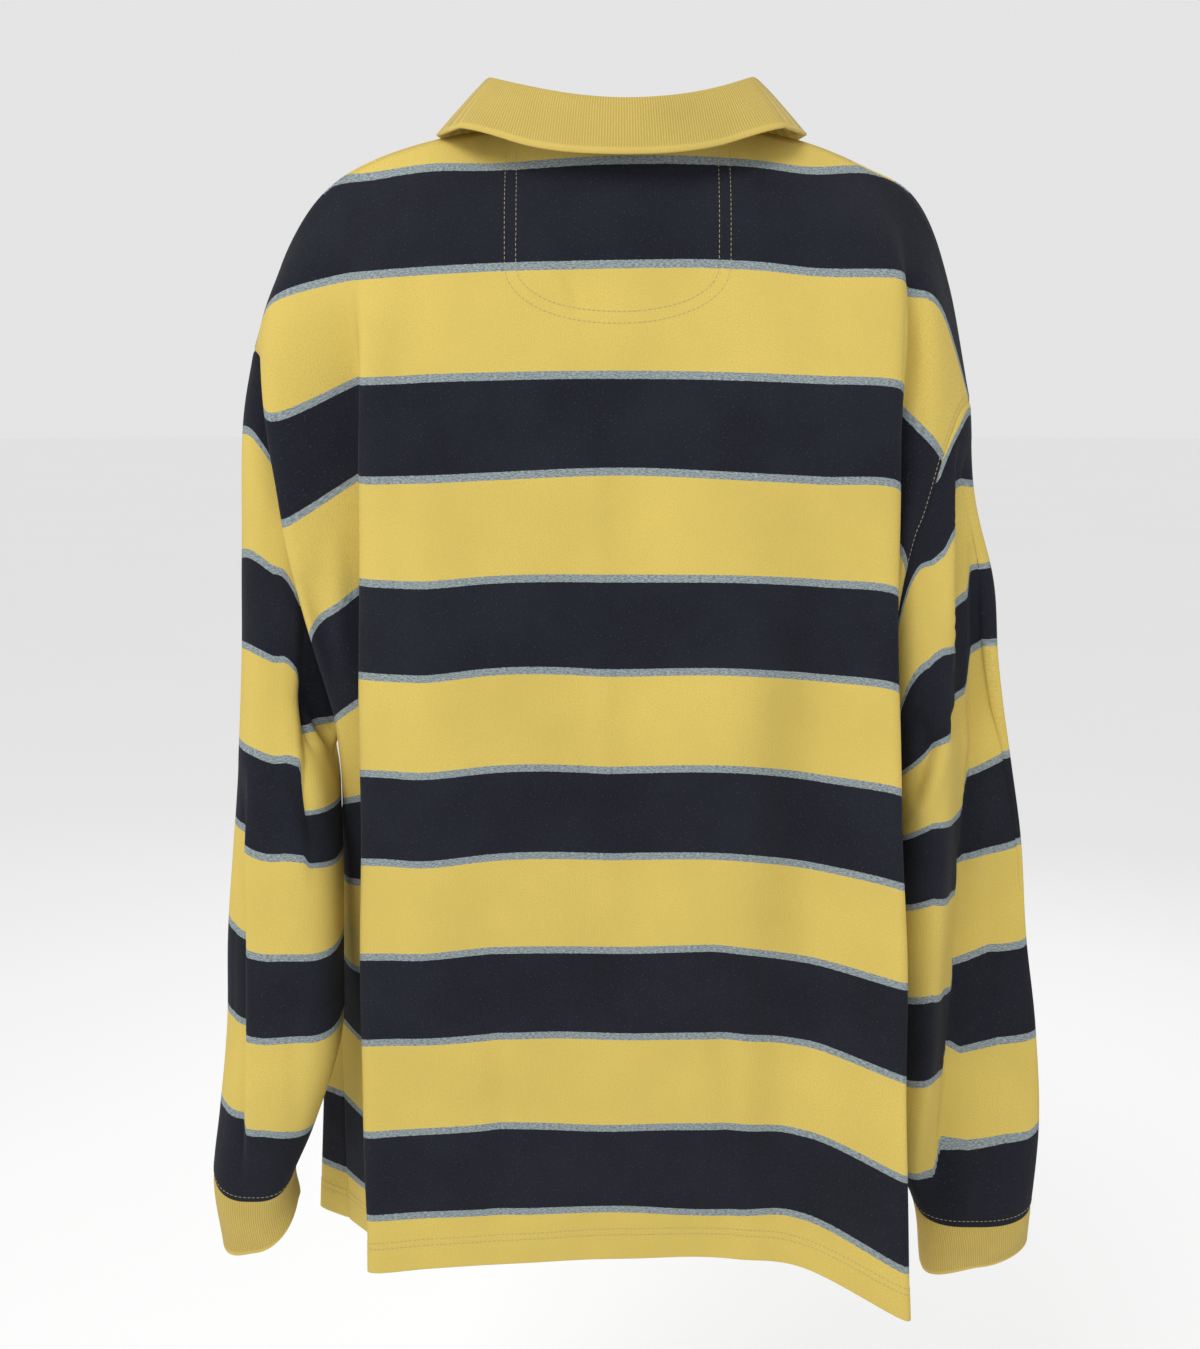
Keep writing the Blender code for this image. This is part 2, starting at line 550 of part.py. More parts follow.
def main():
    for item in list(bpy.data.objects):
        bpy.data.objects.remove(item, do_unlink=True)
    garment = bpy.data.collections.new("pullover")
    bpy.context.scene.collection.children.link(garment)
    back, _, back_at = panel(front=False)
    front, front_down, front_at = panel(front=True)
    rows, back_columns = back.shape[:2]
    front_columns = front.shape[1]
    beside_slit = front_down[:, front_at["placket_left"] + 1]
    slit_bottom = int(np.argmax(beside_slit > NECK_DROPS["front"] + PLACKET_LENGTH))
    slit = {
        (row, column)
        for row in range(slit_bottom)
        for column in range(front_at["placket_left"], front_at["placket_right"])
    }
    pieces = {
        "back_panel": (back.reshape(-1, 3), grid_faces(rows, back_columns)),
        "front_panel": (front.reshape(-1, 3), grid_faces(rows, front_columns, flip=True)),
    }
    for side in SIDES:
        pieces[f"sleeve_{side}"] = sleeve_grid(side, 0, SLEEVE_LENGTH, SLEEVE_ROWS)
        pieces[f"cuff_{side}"] = sleeve_grid(side, SLEEVE_LENGTH, SLEEVE_LENGTH + CUFF_LENGTH, CUFF_ROWS)
    pieces["collar"] = collar_grid(back, back_at, front, front_at)
    upper_points, upper_faces, upper = band_grid(front, slit_bottom + 1, PLACKET_HALF_WIDTH, LAID_ON)
    pieces["placket_upper"] = (upper_points, upper_faces)
    pieces["placket_under"] = band_grid(front, slit_bottom + 1, UNDER_BAND_HALF_WIDTH, -LAID_ON)[:2]
    normals = dict(zip(pieces, sewn_normals(pieces.values())))
    for name, (points, faces) in pieces.items():
        if name == "front_panel":
            faces = grid_faces(rows, front_columns, flip=True, left_out=slit)
        wall(name, points, faces, normals[name], garment)
    middle = upper[:, BAND_STEPS // 2 : BAND_STEPS // 2 + 2].mean(axis=1)
    for number, below in enumerate(BUTTONS_AT, 1):
        z = middle[0, 2] - below
        y = np.interp(-z, -middle[:, 2], middle[:, 1])
        button(f"button_{number}", (0, y + BUTTON_LIFT, z), garment)


main()
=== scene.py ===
"""Dresses the striped rugby pullover: knitted cloth with its creases, ribs, stitching, buttons and studio.

The back of the garment faces -Y, the wearer's right is +X and +Z is up. Single sizes are in metres, and the
tables of rings, folds, creases, pleats and leads are in millimetres. The cloth follows the same folds as the
CAD panels, on a finer grid, with the creases laid over it.
"""

import dataclasses
import functools
import math

import bmesh
import bpy
import numpy as np
from mathutils import Matrix, Vector
from mathutils.bvhtree import BVHTree


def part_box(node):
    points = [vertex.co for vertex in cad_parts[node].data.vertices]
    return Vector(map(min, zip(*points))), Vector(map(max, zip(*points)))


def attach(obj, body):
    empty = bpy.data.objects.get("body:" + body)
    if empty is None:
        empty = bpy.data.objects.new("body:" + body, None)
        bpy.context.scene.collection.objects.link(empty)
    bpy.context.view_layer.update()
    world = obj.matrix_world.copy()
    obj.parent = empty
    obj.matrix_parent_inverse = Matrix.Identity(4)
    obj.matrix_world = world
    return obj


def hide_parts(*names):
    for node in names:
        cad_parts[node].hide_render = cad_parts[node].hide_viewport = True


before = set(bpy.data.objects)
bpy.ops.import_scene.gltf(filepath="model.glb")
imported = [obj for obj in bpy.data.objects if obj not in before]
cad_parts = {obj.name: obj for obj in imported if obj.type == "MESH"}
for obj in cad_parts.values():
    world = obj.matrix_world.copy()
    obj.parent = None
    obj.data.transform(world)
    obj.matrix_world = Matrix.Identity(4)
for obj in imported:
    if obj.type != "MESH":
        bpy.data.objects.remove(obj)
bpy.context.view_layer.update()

bl_info = {
    "name": "Rugby Pullover",
    "version": (1, 0, 0),
    "blender": (4, 5, 0),
    "location": "View3D > Sidebar > Pullover",
    "description": "Knits a striped rugby pullover over its frame, with its ribs, placket and stitching",
    "category": "Add Mesh",
}

LAID_ON = 0.0026  # from the middle of a panel to the middle of a strip sewn on it

LENGTH = 0.838
SHOULDER_DROP = 0.055  # how far down the cloth the shoulder seam ends
UNDERARM = 0.37
SLEEVE_LENGTH = 0.6125
CUFF_LENGTH = 0.067
NECK_HALF_WIDTH = 0.090
NECK_DROPS = {"back": 0.020, "front": 0.078}  # of the neck edge's middle below its ends
NECK_DEPTHS = {"back": -0.038, "ends": -0.004, "front": 0.034}  # along Y
PLACKET_LENGTH = 0.150
PLACKET_HALF_WIDTH = 0.016
UNDER_BAND_HALF_WIDTH = 0.015
BAND_BELOW_NECK = 0.002
BAND_COLUMNS = 8
BAND_SPARE_ROWS = 6  # how far the bands reach below the slit
BUTTON_PROFILE = (  # radius and height in millimetres, from the hollow in the face round to the back
    (0, 1.6), (3.4, 1.6), (3.9, 1.9), (4.3, 2.6), (4.9, 2.8), (5.5, 2.6), (5.9, 1.9), (5.8, 0.6), (5.4, 0.1),
    (5, 0), (0, 0),
)
BUTTON_HOLE, BUTTON_HOLE_APART, DRILL_LENGTH = 0.00075, 0.0012, 0.01
BUTTON_SIDES, BUTTON_HOLE_SIDES, BUTTON_SHARP_ANGLE = 48, 16, 40

KNIT_MAP = "knit"
STITCH_INPUTS = (
    ("Rows", "Geometry"), ("Pitch", "Float"), ("Stitch Length", "Float"), ("Thread Width", "Float"),
    ("Thread", "Material"),
)
TINY = 1e-9
CLOTH = 0.0019  # thickness of the knitted walls
RIM_BULGE = 0.35  # how far a rim stands out, as a share of the thickness
COLUMN_SPLITS = 6  # fine columns to each coarse one of a panel
ARMHOLE_SPLITS, SIDE_SPLITS = 6, 9  # fine rows to each coarse one
COLLAR_SPLITS = 6
RING_PITCH = 0.0042  # between the rows of a sleeve
EDGE_ROWS = (0.0012, 0.0024, 0.0038, 0.0058)  # extra rows beside a seam or an edge
RING_EDGE_CLEAR = 1.3  # where a sleeve's even rows start, as a multiple of its last extra row
HEM_ROWS = (
    0.0012, 0.003, 0.006, 0.010, 0.014, 0.0175, 0.019, 0.020, 0.021, 0.0225, 0.024, 0.025, 0.026, 0.029,
)
HEM_ROWS_AT = (0.020, 0.025)  # the hem's stitching above the edge
SLEEVE_PATTERN_START = 0.1195  # where a sleeve's stripes start in the body's pattern
SEAM_SINK, SEAM_SOFTNESS, SEAM_CLEAR = 0.0008, 0.0022, 0.012
STITCH_SINK, STITCH_SOFTNESS, STITCH_LIFT = 0.0003, 0.0018, 0.0001
HEM_LIFT, HEM_LIFT_SOFTNESS = 0.0004, 0.002
SEEN_FROM, SEEN_FADE = 0.1, 0.4  # where a side's creases start round it, and how fast they come in
CREASE_TAPER = 0.7
PATCH_MIDDLE, PATCH_HALF_WIDTH = -0.0028, 0.0762
PATCH_TOP, PATCH_STRAIGHT_END, PATCH_CURVE_DEPTH = -0.018, -0.094, 0.0385
PATCH_ROW_GAP = 0.0077
PATCH_CORNER = 0.93  # 1 gives the curve an oval's corners, less gives squarer ones
PATCH_CURVE_POINTS, PATCH_SIDE_POINTS = 60, 20
ARMHOLE_ROW_AT, CUFF_ROW_AT = 0.006, 0.005
ARMHOLE_ROW_COLUMNS = 12  # columns in from the armhole that its stitching lies within
COLUMN_CLEAR = 1e-6  # how far a row of stitching stays from the last column
BAND_ROW_INSET = 0.0025
BAND_FOOT_ROWS = (0.6, 2.4)  # rows of its grid above the band's foot
BAND_FOOT_POINTS = 9
RIPPLES = (  # height, length in x, y and z, and where the wave starts
    (0.0005, 0.21, 0.9, 0.33, 0.4),
    (0.0004, -0.13, 1.1, 0.17, 1.9),
    (0.0003, 0.09, -0.7, -0.26, 4.1),
)
RIPPLE_SHARES = {"collar_rib": 0.8}

# Each knitted piece: its slot, the CAD node that it stands for, its flat cut as width and length, and its
# flat area where that isn't the cut's.
KNITTED = {
    "back_knit": ("striped_jersey", "back_panel", (0.58, 0.84), None),
    "front_knit": ("striped_jersey", "front_panel", (0.50, 0.80), None),
    "sleeve_left_knit": ("striped_jersey", "sleeve_left", (0.26, 0.6125), 0.135),
    "sleeve_right_knit": ("striped_jersey", "sleeve_right", (0.32, 0.6125), 0.165),
    "collar_rib": ("rib_knit", "collar", (0.50, 0.075), None),
    "cuff_left_rib": ("rib_knit", "cuff_left", (0.17, 0.067), None),
    "cuff_right_rib": ("rib_knit", "cuff_right", (0.17, 0.067), None),
    "placket_upper_cloth": ("placket_cloth", "placket_upper", (0.032, 0.19), None),
    "placket_under_cloth": ("placket_cloth", "placket_under", (0.030, 0.19), None),
}

WARM_SHEEN = (1.0, 0.97, 0.9, 1)
FLOOR_HEIGHT, FLOOR_RADIUS = -1.6, 60.0
FLOOR_SHADES = (0.96, 0.98)
AIR_LIGHT = 0.78
LIT_POINT = (0.0, 0.0, -0.4)
LIGHTS = (  # name, place, size and watts
    ("key_light", (-0.9, -1.8, 1.4), 1.0, 31.5),
    ("fill_light", (-2.2, -1.6, 0.2), 2.0, 5.0),
    ("back_light", (0.6, 2.4, 0.8), 2.0, 16.0),
)
CAMERA_PLACE, CAMERA_TILT = (-0.0147, -1.025, -0.185), 79.0
CAMERA_LENS, SENSOR_WIDTH = 37.36, 36.0  # millimetres

ARMHOLE_ROWS, SIDE_ROWS = 12, 12
BOXY = 0.72  # 1 gives oval sleeves, less gives squarer ones
RIDGE_SOFTNESS = 0.004

# Sleeve and cuff rings, left then right. "outer" is the silhouette side, "inner" the underarm side, "sag"
# lowers a ring's near side, "skew" shifts it to the body, "step" sets the cloth outside "ridge" back behind a
# fold, and "bow", a plain power, keeps the ring's outer part level before it drops to the underarm.
RING_COLUMNS = (
    "along", "outer_x", "outer_z", "inner_x", "inner_z", "middle_y", "half_deep", "sag", "skew", "ridge",
    "step", "bow",
)
SLEEVES = {
    "left": (
        (0, -259.6, -149, -207, -420, 3, 21, 0, 0, -300, 0, 2.2),
        (72.5, -269.5, -205.5, -212, -431, 2, 27, 0, 0, -300, 0, 2.4),
        (144.5, -275.5, -295.5, -216, -446, 0, 31, 2, 0, -300, 0, 2.3),
        (212.5, -276.5, -364, -213, -465, -3, 36, 4, 0, -300, 0, 1.9),
        (284.5, -280, -439.5, -211.5, -493, -12, 39, 6, 0, -300, 0, 1.4),
        (352.5, -285.6, -506, -210, -540, -20, 39, 8, 0, -300, 0, 1.1),
        (424.5, -293.5, -580.5, -212, -602, -24, 38, 9, 0, -300, 0, 1),
        (492.5, -298, -645, -215, -665, -24, 36, 10, 0, -300, 0, 1),
        (564.5, -307.1, -720.6, -237, -736, -20, 33, 10, 0, -300, 0, 1),
        (612.5, -314.2, -768, -254.5, -774, -17, 31, 16, 0, -300, 0, 1),
        (680, -311.5, -827, -254, -803, -17, 27, 18, 0, -300, 0, 1),
    ),
    "right": (
        (0, 247.1, -185, 201, -415, -12, 32, 0, 16, 232, 0, 1.35),
        (72.5, 253, -245, 202, -426, -12, 37, 0, 10, 239, 12, 1.5),
        (144.5, 269.5, -311, 203, -442, -12, 42, 0, 4, 242, 26, 1.4),
        (212.5, 276.5, -371, 203.5, -460, -10, 45, 0, 1, 244, 34, 1.25),
        (284.5, 291.5, -450, 203.5, -503, -8, 47, 2, 0, 245, 40, 1.1),
        (352.5, 304, -515, 204.5, -556, -6, 47, 3, 0, 245, 42, 1),
        (424.5, 312.5, -592, 205.5, -622, -5, 46, 4, 0, 244, 40, 1),
        (492.5, 324, -663, 208, -689, -5, 43, 5, 0, 242, 34, 1),
        (564.5, 329, -742.5, 217, -763, -5, 37, 6, 0, 236, 18, 1),
        (612.5, 325.7, -805.4, 236, -811, -6, 30, 8, 0, 230, 0, 1),
        (680, 325.7, -838, 245, -868, -6, 26, 0, 0, 230, 0, 1),
    ),
}
SIDES = {"left": -1, "right": 1}

# The shoulder and neck line, shared by both panels: down the cloth, then x, y and z.
TOP = {
    "flap_left": (43, -232, -10, -80),
    "tuck_left": (28, -200, -6, -37),
    "face_left": (20, -170, -5, -21),
    "bend_left": (9, -126, -4, -8),
    "neck_left": (0, -90, -4, 0),
    "neck_right": (0, 90, -4, 0),
    "bend_right": (9, 126, -4, -9),
    "face_right": (20, 170, -5, -25),
    "tuck_right": (28, 200, -6, -42),
    "flap_right": (43, 230, -10, -105),
}

# Each column of folds below that line: down the cloth, x, y, and how much lower the cloth hangs than a
# straight drop would take it.
BACK_FOLDS = {
    "flap_left": (
        (100, -237, -38, 20), (165, -240.5, -46, 27), (233, -234, -47, 32), (305, -220, -44, 36),
        (370, -206.5, -32, 35), (450, -204, -8, 31), (590, -206, 6, 30), (665, -202, 6, 22),
        (845, -204, 6, 8),
    ),
    "tuck_left": (
        (100, -188, -42, 12), (165, -180, -36, 16), (300, -170, -30, 20), (450, -171, -27, 21),
        (600, -175, -25, 19), (700, -180, -20, 12), (845, -182, -18, 8),
    ),
    "face_left": (
        (100, -172, -48, 6), (300, -180, -52, 6), (450, -184, -52, 8), (620, -189, -52, 8),
        (845, -193, -52, 6),
    ),
    "bend_left": ((50, -129, -34, 1), (110, -132, -48, 3), (845, -145, -51, 3)),
    "neck_left": ((50, -90, -36, 0), (110, -91, -48, 1), (845, -93, -50, 0)),
    "centre": ((60, 0, -46, 0), (120, 0, -50, 0), (845, 0, -50, -5)),
    "neck_right": ((50, 90, -36, 0), (110, 91, -49, 1), (845, 90, -50, -4)),
    "bend_right": ((50, 129, -34, 1), (110, 132, -50, 2), (460, 140, -53, 1), (845, 142, -55, -1)),
    "face_right": (
        (100, 185, -55, 6), (200, 187, -60, 3), (318, 190, -65, 4), (460, 195.7, -78, 6),
        (610, 201.9, -92, 6), (750, 205.9, -104, 6), (845, 209.7, -110, 6),
    ),
    "tuck_right": (
        (100, 192, -45, 20), (165, 188, -42, 30), (250, 184, -36, 35), (370, 183, -36, 30),
        (500, 186, -46, 20), (650, 189, -56, 12), (845, 195, -66, 8),
    ),
    "flap_right": (
        (100, 217, -40, 32), (165, 211, -46, 44), (250, 194.5, -44, 56), (330, 191, -34, 58),
        (420, 189, -28, 42), (520, 188, -30, 30), (650, 190, -32, 15), (845, 192.5, -36, 8),
    ),
}
FRONT_FOLDS = {
    "flap_left": (
        (100, -230, 12, 24), (165, -228, 22, 34), (250, -211, 26, 40), (370, -200, 22, 42),
        (450, -208, 38, 34), (600, -227, 44, 20), (720, -242, 48, 12), (845, -248, 48, 10),
    ),
    "tuck_left": (
        (100, -192, 20, 12), (250, -190, 32, 14), (450, -185, 37, 12), (700, -202, 46, 10),
        (845, -208, 47, 8),
    ),
    "face_left": ((100, -165, 23, 4), (250, -162, 35, 4), (845, -165, 43, 4)),
    "bend_left": ((50, -128, 14, 2), (200, -125, 34, 2), (845, -125, 40, 2)),
    "neck_left": ((50, -89, 18, 0), (200, -85, 34, 0), (845, -85, 38, 0)),
    "placket_left": ((260, -12, 40, 0), (845, -12, 42, 0)),
    "placket_right": ((260, 12, 40, 0), (845, 12, 42, 0)),
    "neck_right": ((50, 89, 18, 0), (200, 85, 34, 0), (845, 85, 36, 0)),
    "bend_right": ((50, 128, 14, 2), (200, 124, 32, 2), (845, 122, 35, 2)),
    "face_right": ((100, 165, 23, 4), (250, 160, 32, 4), (845, 155, 34, 4)),
    "tuck_right": ((100, 192, 18, 20), (250, 180, 28, 26), (450, 174, 28, 16), (845, 182, 26, 8)),
    "flap_right": (
        (100, 220, 10, 40), (165, 217, 18, 52), (250, 202, 22, 56), (370, 193, 16, 46), (450, 189, 14, 30),
        (650, 189, 12, 14), (845, 193, 10, 8),
    ),
}
# The side seams below the underarm, shared by both panels.
SIDE_SEAMS = {
    "left": (
        (420, -209, 18, 45), (460, -216, 29, 40), (540, -221, 33, 28), (620, -223, 33, 20),
        (720, -224, 31, 12), (845, -222, 29, 10),
    ),
    "right": ((420, 190, -8, 38), (520, 188, -4, 22), (650, 187, -4, 12), (845, 188.5, -6, 8)),
}
# Columns of faces from a side seam inwards, fold by fold, then from a neck point to the centre back or to
# the placket, and across the placket.
OUTER_STEPS = (("flap", 3), ("tuck", 3), ("face", 2), ("bend", 2), ("neck", 2))
NECK_STEPS = 5
SLIT_STEPS = 2

# The collar in upright sections, from the front end to the centre back: heights and reaches from the neck
# edge, outwards being away from the middle of the neck.
COLLAR_LEAN = 0.75  # how far the stand turns square to a sloping neck edge: 0 keeps it upright
LEAN_ENDS, LEAN_FADE = 0.45, 0.2  # the place round the collar past which it is upright, and its fading in
COLLAR_STAND = ((0.5, 0.35), (0.93, 0.9))  # shares of the stand's height and of the fold's reach
COLLAR_ROLL = 0.002  # how far the fold rises over the stand
ROLL_REACH = 0.0032
FALL_REACH = 0.0045  # from the stand to the fall at the fold
COLLAR_FALL = ((0.12, 1.8), (0.5, 1.2), (1.0, 0))  # shares of the fall, and how far it bellies, in mm
EDGE_TURN = 0.6  # below 1, the fall swings to the collar's corners early
COLLAR = (  # round, stand, fold_out, fall, edge_out, edge_side and edge_fore
    (0, 24, 6, 58, 8, 24, 4),
    (0.25, 29, 4, 52, 18, 10, 16),
    (0.5, 31, -3, 34.5, 33, 0, 0),
    (0.72, 31, 1, 36, 20, 0, 0),
    (1, 30, 4, 35, 17, 0, 0),
)

# Creases as soft ridges (height above 0) and troughs, under the part that they are on and the way that they
# face, -1 being the side nearest -Y: height, width to where the crease has nearly gone, and its path seen
# square to the back, as (x, z).
CREASES = {
    ("body", -1): (
        (3, 26, ((-172, -160), (-180, -400), (-186, -640), (-190, -800))),
        (-2.2, 20, ((-150, -120), (-152, -260), (-148, -420))),
        (-1.6, 9, ((-41, -92), (-34, -108), (-27, -126))),
        (1.6, 22, ((-20, -170), (-12, -420), (-4, -560))),
        (-2, 26, ((60, -500), (78, -640), (88, -836))),
        (2, 24, ((120, -560), (136, -700), (140, -838))),
        (-1.6, 22, ((-96, -560), (-88, -700), (-92, -838))),
        (-4.2, 16, ((-222, -300), (-211.3, -340), (-200.4, -395))),
        (3.2, 14, ((-201, -270), (-201, -345), (-196.5, -395))),
        (-4.5, 16, ((196.5, -100), (197.4, -140), (199.1, -190))),
    ),
    ("body", 1): (
        (2.8, 26, ((150, -200), (158, -420), (160, -700))),
        (-2.2, 22, ((-120, -240), (-128, -460), (-140, -760))),
        (2, 24, ((-50, -360), (-62, -560), (-66, -830))),
        (-2, 24, ((60, -420), (82, -640), (90, -830))),
    ),
    ("left", -1): (
        (-1.8, 18, ((-233.6, -560), (-243.2, -698), (-250, -765))),
        (-6, 15, ((-230, -385), (-223.2, -407), (-214, -436))),
        (5.5, 22, ((-225, -428), (-220, -455), (-216.3, -484))),
        (-5, 14, ((-235, -440), (-229, -468), (-220, -505))),
    ),
    ("left", 1): (
        (-4, 18, ((-235, -400), (-224, -440), (-216, -490))),
        (2.6, 22, ((-260, -330), (-256, -500), (-262, -700))),
    ),
    ("right", -1): (
        (-6, 15, ((205, -402), (215, -414), (226, -434))),
        (-5.5, 13, ((223.8, -420), (218, -442), (212, -470))),
        (4.5, 14, ((230, -420), (226, -450), (217, -490))),
        (-2, 20, ((284, -520), (280, -640), (272, -780))),
    ),
    ("right", 1): (
        (-4, 18, ((235, -380), (224, -430), (215, -490))),
        (2.6, 22, ((256, -340), (264, -520), (276, -740))),
    ),
}
# Behind the fold at the left underarm the cloth is bunched up, and its stripes lie level: how far down a
# place is, and how far along the sleeve's pattern it lies.
UNDERARM_FOLD = ((-229, -300), (-231.5, -372), (-230, -440), (-228.5, -490), (-226.5, -535))
UNDERARM_PATTERN = (
    (300, 150), (335, 156), (380, 186), (419, 214.9), (478, 287.2), (517, 354.9), (560, 395),
)
UNDERARM_ENDS = (-0.535, -0.505)  # between these heights the pattern goes back to the sleeve's own
# Pleat edges on the near side, each with the cloth on one side of its path set back. In order: that side, 1
# being the greater x; the share of the path over which the pleat comes and goes; how far the cloth is set
# back; how far its stripes run ahead; how far from the path both fade out; and the path, as (x, z).
PLEATS = {
    "left": (
        (1, 0.35, 6, 0, 120, UNDERARM_FOLD),
        (-1, 0.12, 7, 8.5, 36, (
            (-270, -440), (-273.8, -500), (-274.5, -570), (-276.6, -616.5), (-281.5, -698), (-286.2, -775),
        )),
    ),
    "right": (
        (1, 0.12, 9.5, 19, 60, ((234.5, -210), (234.9, -252), (237.3, -322), (240.5, -394), (236.4, -430))),
        (1, 0.12, 8, 23, 70, (
            (252.5, -270), (253.2, -295), (257.8, -361), (259, -430), (256.8, -530), (256.6, -629),
            (251.3, -702), (246, -800),
        )),
    ),
}
PLEAT_SOFTNESS, SLIP_SOFTNESS = 0.0035, 0.0022
SLIP_WRAP = 0.7  # how far round to the far side a slip still reaches

# How far the stripes run ahead down a sleeve, from its outer edge to its underarm, and down a fold.
LEAD_ACROSS = (0.0, 0.25, 0.5, 0.75, 1.0)  # shares of the way from outer edge to underarm
SLEEVE_LEADS = {
    "left": (
        (0, 11.5, 11.5, 14, 22, 32),
        (70, 3, 8, 18, 30, 40),
        (140, 5, 15, 27, 38, 50),
        (200, 9, 20, 33, 50, 60),
        (270, 16, 24, 31, 38, 10),
        (335, 17, 20, 25, 30, 33),
        (400, 18, 18, 21, 24, 27),
        (470, 15, 16, 20, 23, 25),
        (550, 14, 14, 15, 14, 12),
        (612.5, 14, 14, 15, 14, 12),
    ),
    "right": (
        (0, 0, -3, 3, 35, 70),
        (70, -8, -3, 4, 30, 60),
        (135, -4, -3, 5, 19, 45),
        (210, -8, -12, -10, -2, 10),
        (285, -1, -5, -9, 5, 3),
        (350, 0, -3, -10, 5, 3),
        (430, 0, -4, -18, -2, -2),
        (500, 2, -3, -15, -3, -3),
        (572.5, 7, 3, -4, -8, -9),
        (612.5, 7, 3, -4, -8, -9),
    ),
}
NO_LEAD = ((0, 0), (1000, 0))
LEAD_DOWNS = (0, 95, 168, 235, 308, 375, 448, 515, 588, 655, 728, 795, 845)
BACK_LEADS = {
    "tuck_left": (
        (0, 0), (95, 5), (168, 15), (235, 24), (308, 21), (375, 14), (450, 5), (520, 2), (600, -2),
        (845, 0),
    ),
    "face_left": (
        (0, -2), (28, -3), (95, 0), (168, 4), (235, 5), (308, 6), (375, 8), (448, 10), (515, 11),
        (588, 10.5), (655, 10), (728, 7), (795, 4), (845, 3),
    ),
    "bend_left": tuple(zip(LEAD_DOWNS, (-1, 0, 3, 4.5, 6, 8.5, 10.5, 11.5, 11, 9.5, 7, 3, 2))),
    "neck_left": tuple(zip(LEAD_DOWNS, (0, 0, 1.5, 3, 5.5, 9, 11, 12, 11, 9, 6.5, 2, 1))),
    "centre": tuple(zip(LEAD_DOWNS, (2, 1.5, 1, 3.5, 2, 2.5, 3.5, 6, 5, 3.5, 0, -1, -1))),
    "neck_right": tuple(zip(LEAD_DOWNS, (2, 1, 1, 2.5, 5.5, 8, 9.5, 10, 9, 6, 3, -3, -3))),
    "bend_right": tuple(zip(LEAD_DOWNS, (-2, -2, 0, 0.5, 2, 1.5, 0, 1, 0, 2, 2, 1, 0))),
    "face_right": (
        (0, 5), (28, 6), (95, 0), (168, -1.5), (308, -1.5), (375, 0), (515, 1), (588, 1.5), (655, 0),
        (728, -1.5), (795, -3.5), (845, -4),
    ),
    "tuck_right": ((0, 4), (95, 5), (150, 12), (250, 4), (400, 0), (845, 0)),
    "flap_right": ((0, 10), (80, 10), (120, 8), (160, 4), (250, 2), (400, 0), (845, 0)),
    "seam_right": ((0, 30), (80, 26), (140, 8), (250, 0), (845, 0)),
}


def unit(vectors):
    """The vectors at a length of 1."""
    return vectors / np.maximum(np.linalg.norm(vectors, axis=-1, keepdims=True), TINY)


def metres(millimetres):
    """A table in millimetres as an array in metres."""
    return np.array(millimetres, float) / 1000


def travelled(points, axis=0):
    """How far each point is from the first, going from point to point along the axis."""
    steps = np.linalg.norm(np.diff(points, axis=axis), axis=-1)
    return np.insert(np.cumsum(steps, axis=axis), 0, 0.0, axis=axis)


def smooth(table, at):
    """The table's other columns at the given values of its first, along a smooth curve through its rows."""
    table = np.array(table, float)
    knots, values = table[:, 0], table[:, 1:]
    slopes = np.gradient(values, knots, axis=0)
    at = np.clip(np.asarray(at, float), knots[0], knots[-1])
    left = np.clip(np.searchsorted(knots, at, side="right") - 1, 0, len(knots) - 2)
    gap = (knots[left + 1] - knots[left])[..., None]
    part = (at - knots[left])[..., None] / gap
    return (
        (1 + 2 * part) * (1 - part) ** 2 * values[left]
        + part * (1 - part) ** 2 * gap * slopes[left]
        + part**2 * (3 - 2 * part) * values[left + 1]
        - part**2 * (1 - part) * gap * slopes[left + 1]
    )


def sleeve_points(side, along, angle):
    """Points on a sleeve. The angle is 0 at its outer edge and a quarter turn at the side nearest -Y."""
    along, angle = np.broadcast_arrays(along, angle)
    table = metres(SLEEVES[side])
    table[:, RING_COLUMNS.index("bow")] *= 1000
    row = dict(zip(RING_COLUMNS[1:], np.moveaxis(smooth(table, along), -1, 0)))
    out, near = np.cos(angle), np.sin(angle)
    facing = np.maximum(near, 0)
    across = np.sign(out) * np.abs(out) ** BOXY
    x = (row["outer_x"] + row["inner_x"]) / 2 + (row["outer_x"] - row["inner_x"]) / 2 * across
    x = x - SIDES[side] * row["skew"] * facing
    y = row["middle_y"] - row["half_deep"] * np.sign(near) * np.abs(near) ** BOXY
    behind = 1 / (1 + np.exp(-SIDES[side] * (x - row["ridge"]) / RIDGE_SOFTNESS))
    y = y + row["step"] * behind * facing
    fallen = np.maximum((1 - out) / 2, 0) ** row["bow"]
    z = row["outer_z"] - (row["outer_z"] - row["inner_z"]) * fallen - row["sag"] * facing
    return np.stack([x, y, z], -1)


def seam_column(side, downs, turn):
    """The panel's edge at each row: the armhole, half round the sleeve's end, then the side seam."""
    reached = (downs - SHOULDER_DROP) / (UNDERARM - SHOULDER_DROP)
    armhole = sleeve_points(side, 0.0, turn * math.pi * np.clip(reached, 0, 1))
    underarm = sleeve_points(side, 0.0, math.pi)
    start = (UNDERARM, underarm[0], underarm[1], -UNDERARM - underarm[2])
    x, y, slump = smooth(np.vstack([start, metres(SIDE_SEAMS[side])]), downs).T
    below = np.stack([x, y, -downs - slump], -1)
    return np.where(reached[:, None] <= 1 + TINY, armhole, below)


def fold_column(top, folds, downs):
    """A column of the cloth from its top, as down, x, y and z, through its folds."""
    first = (top[0], top[1], top[2], -top[3] - top[0])
    x, y, slump = smooth(np.vstack([first, metres(folds)]), downs).T
    return np.stack([x, y, -downs - slump], -1)


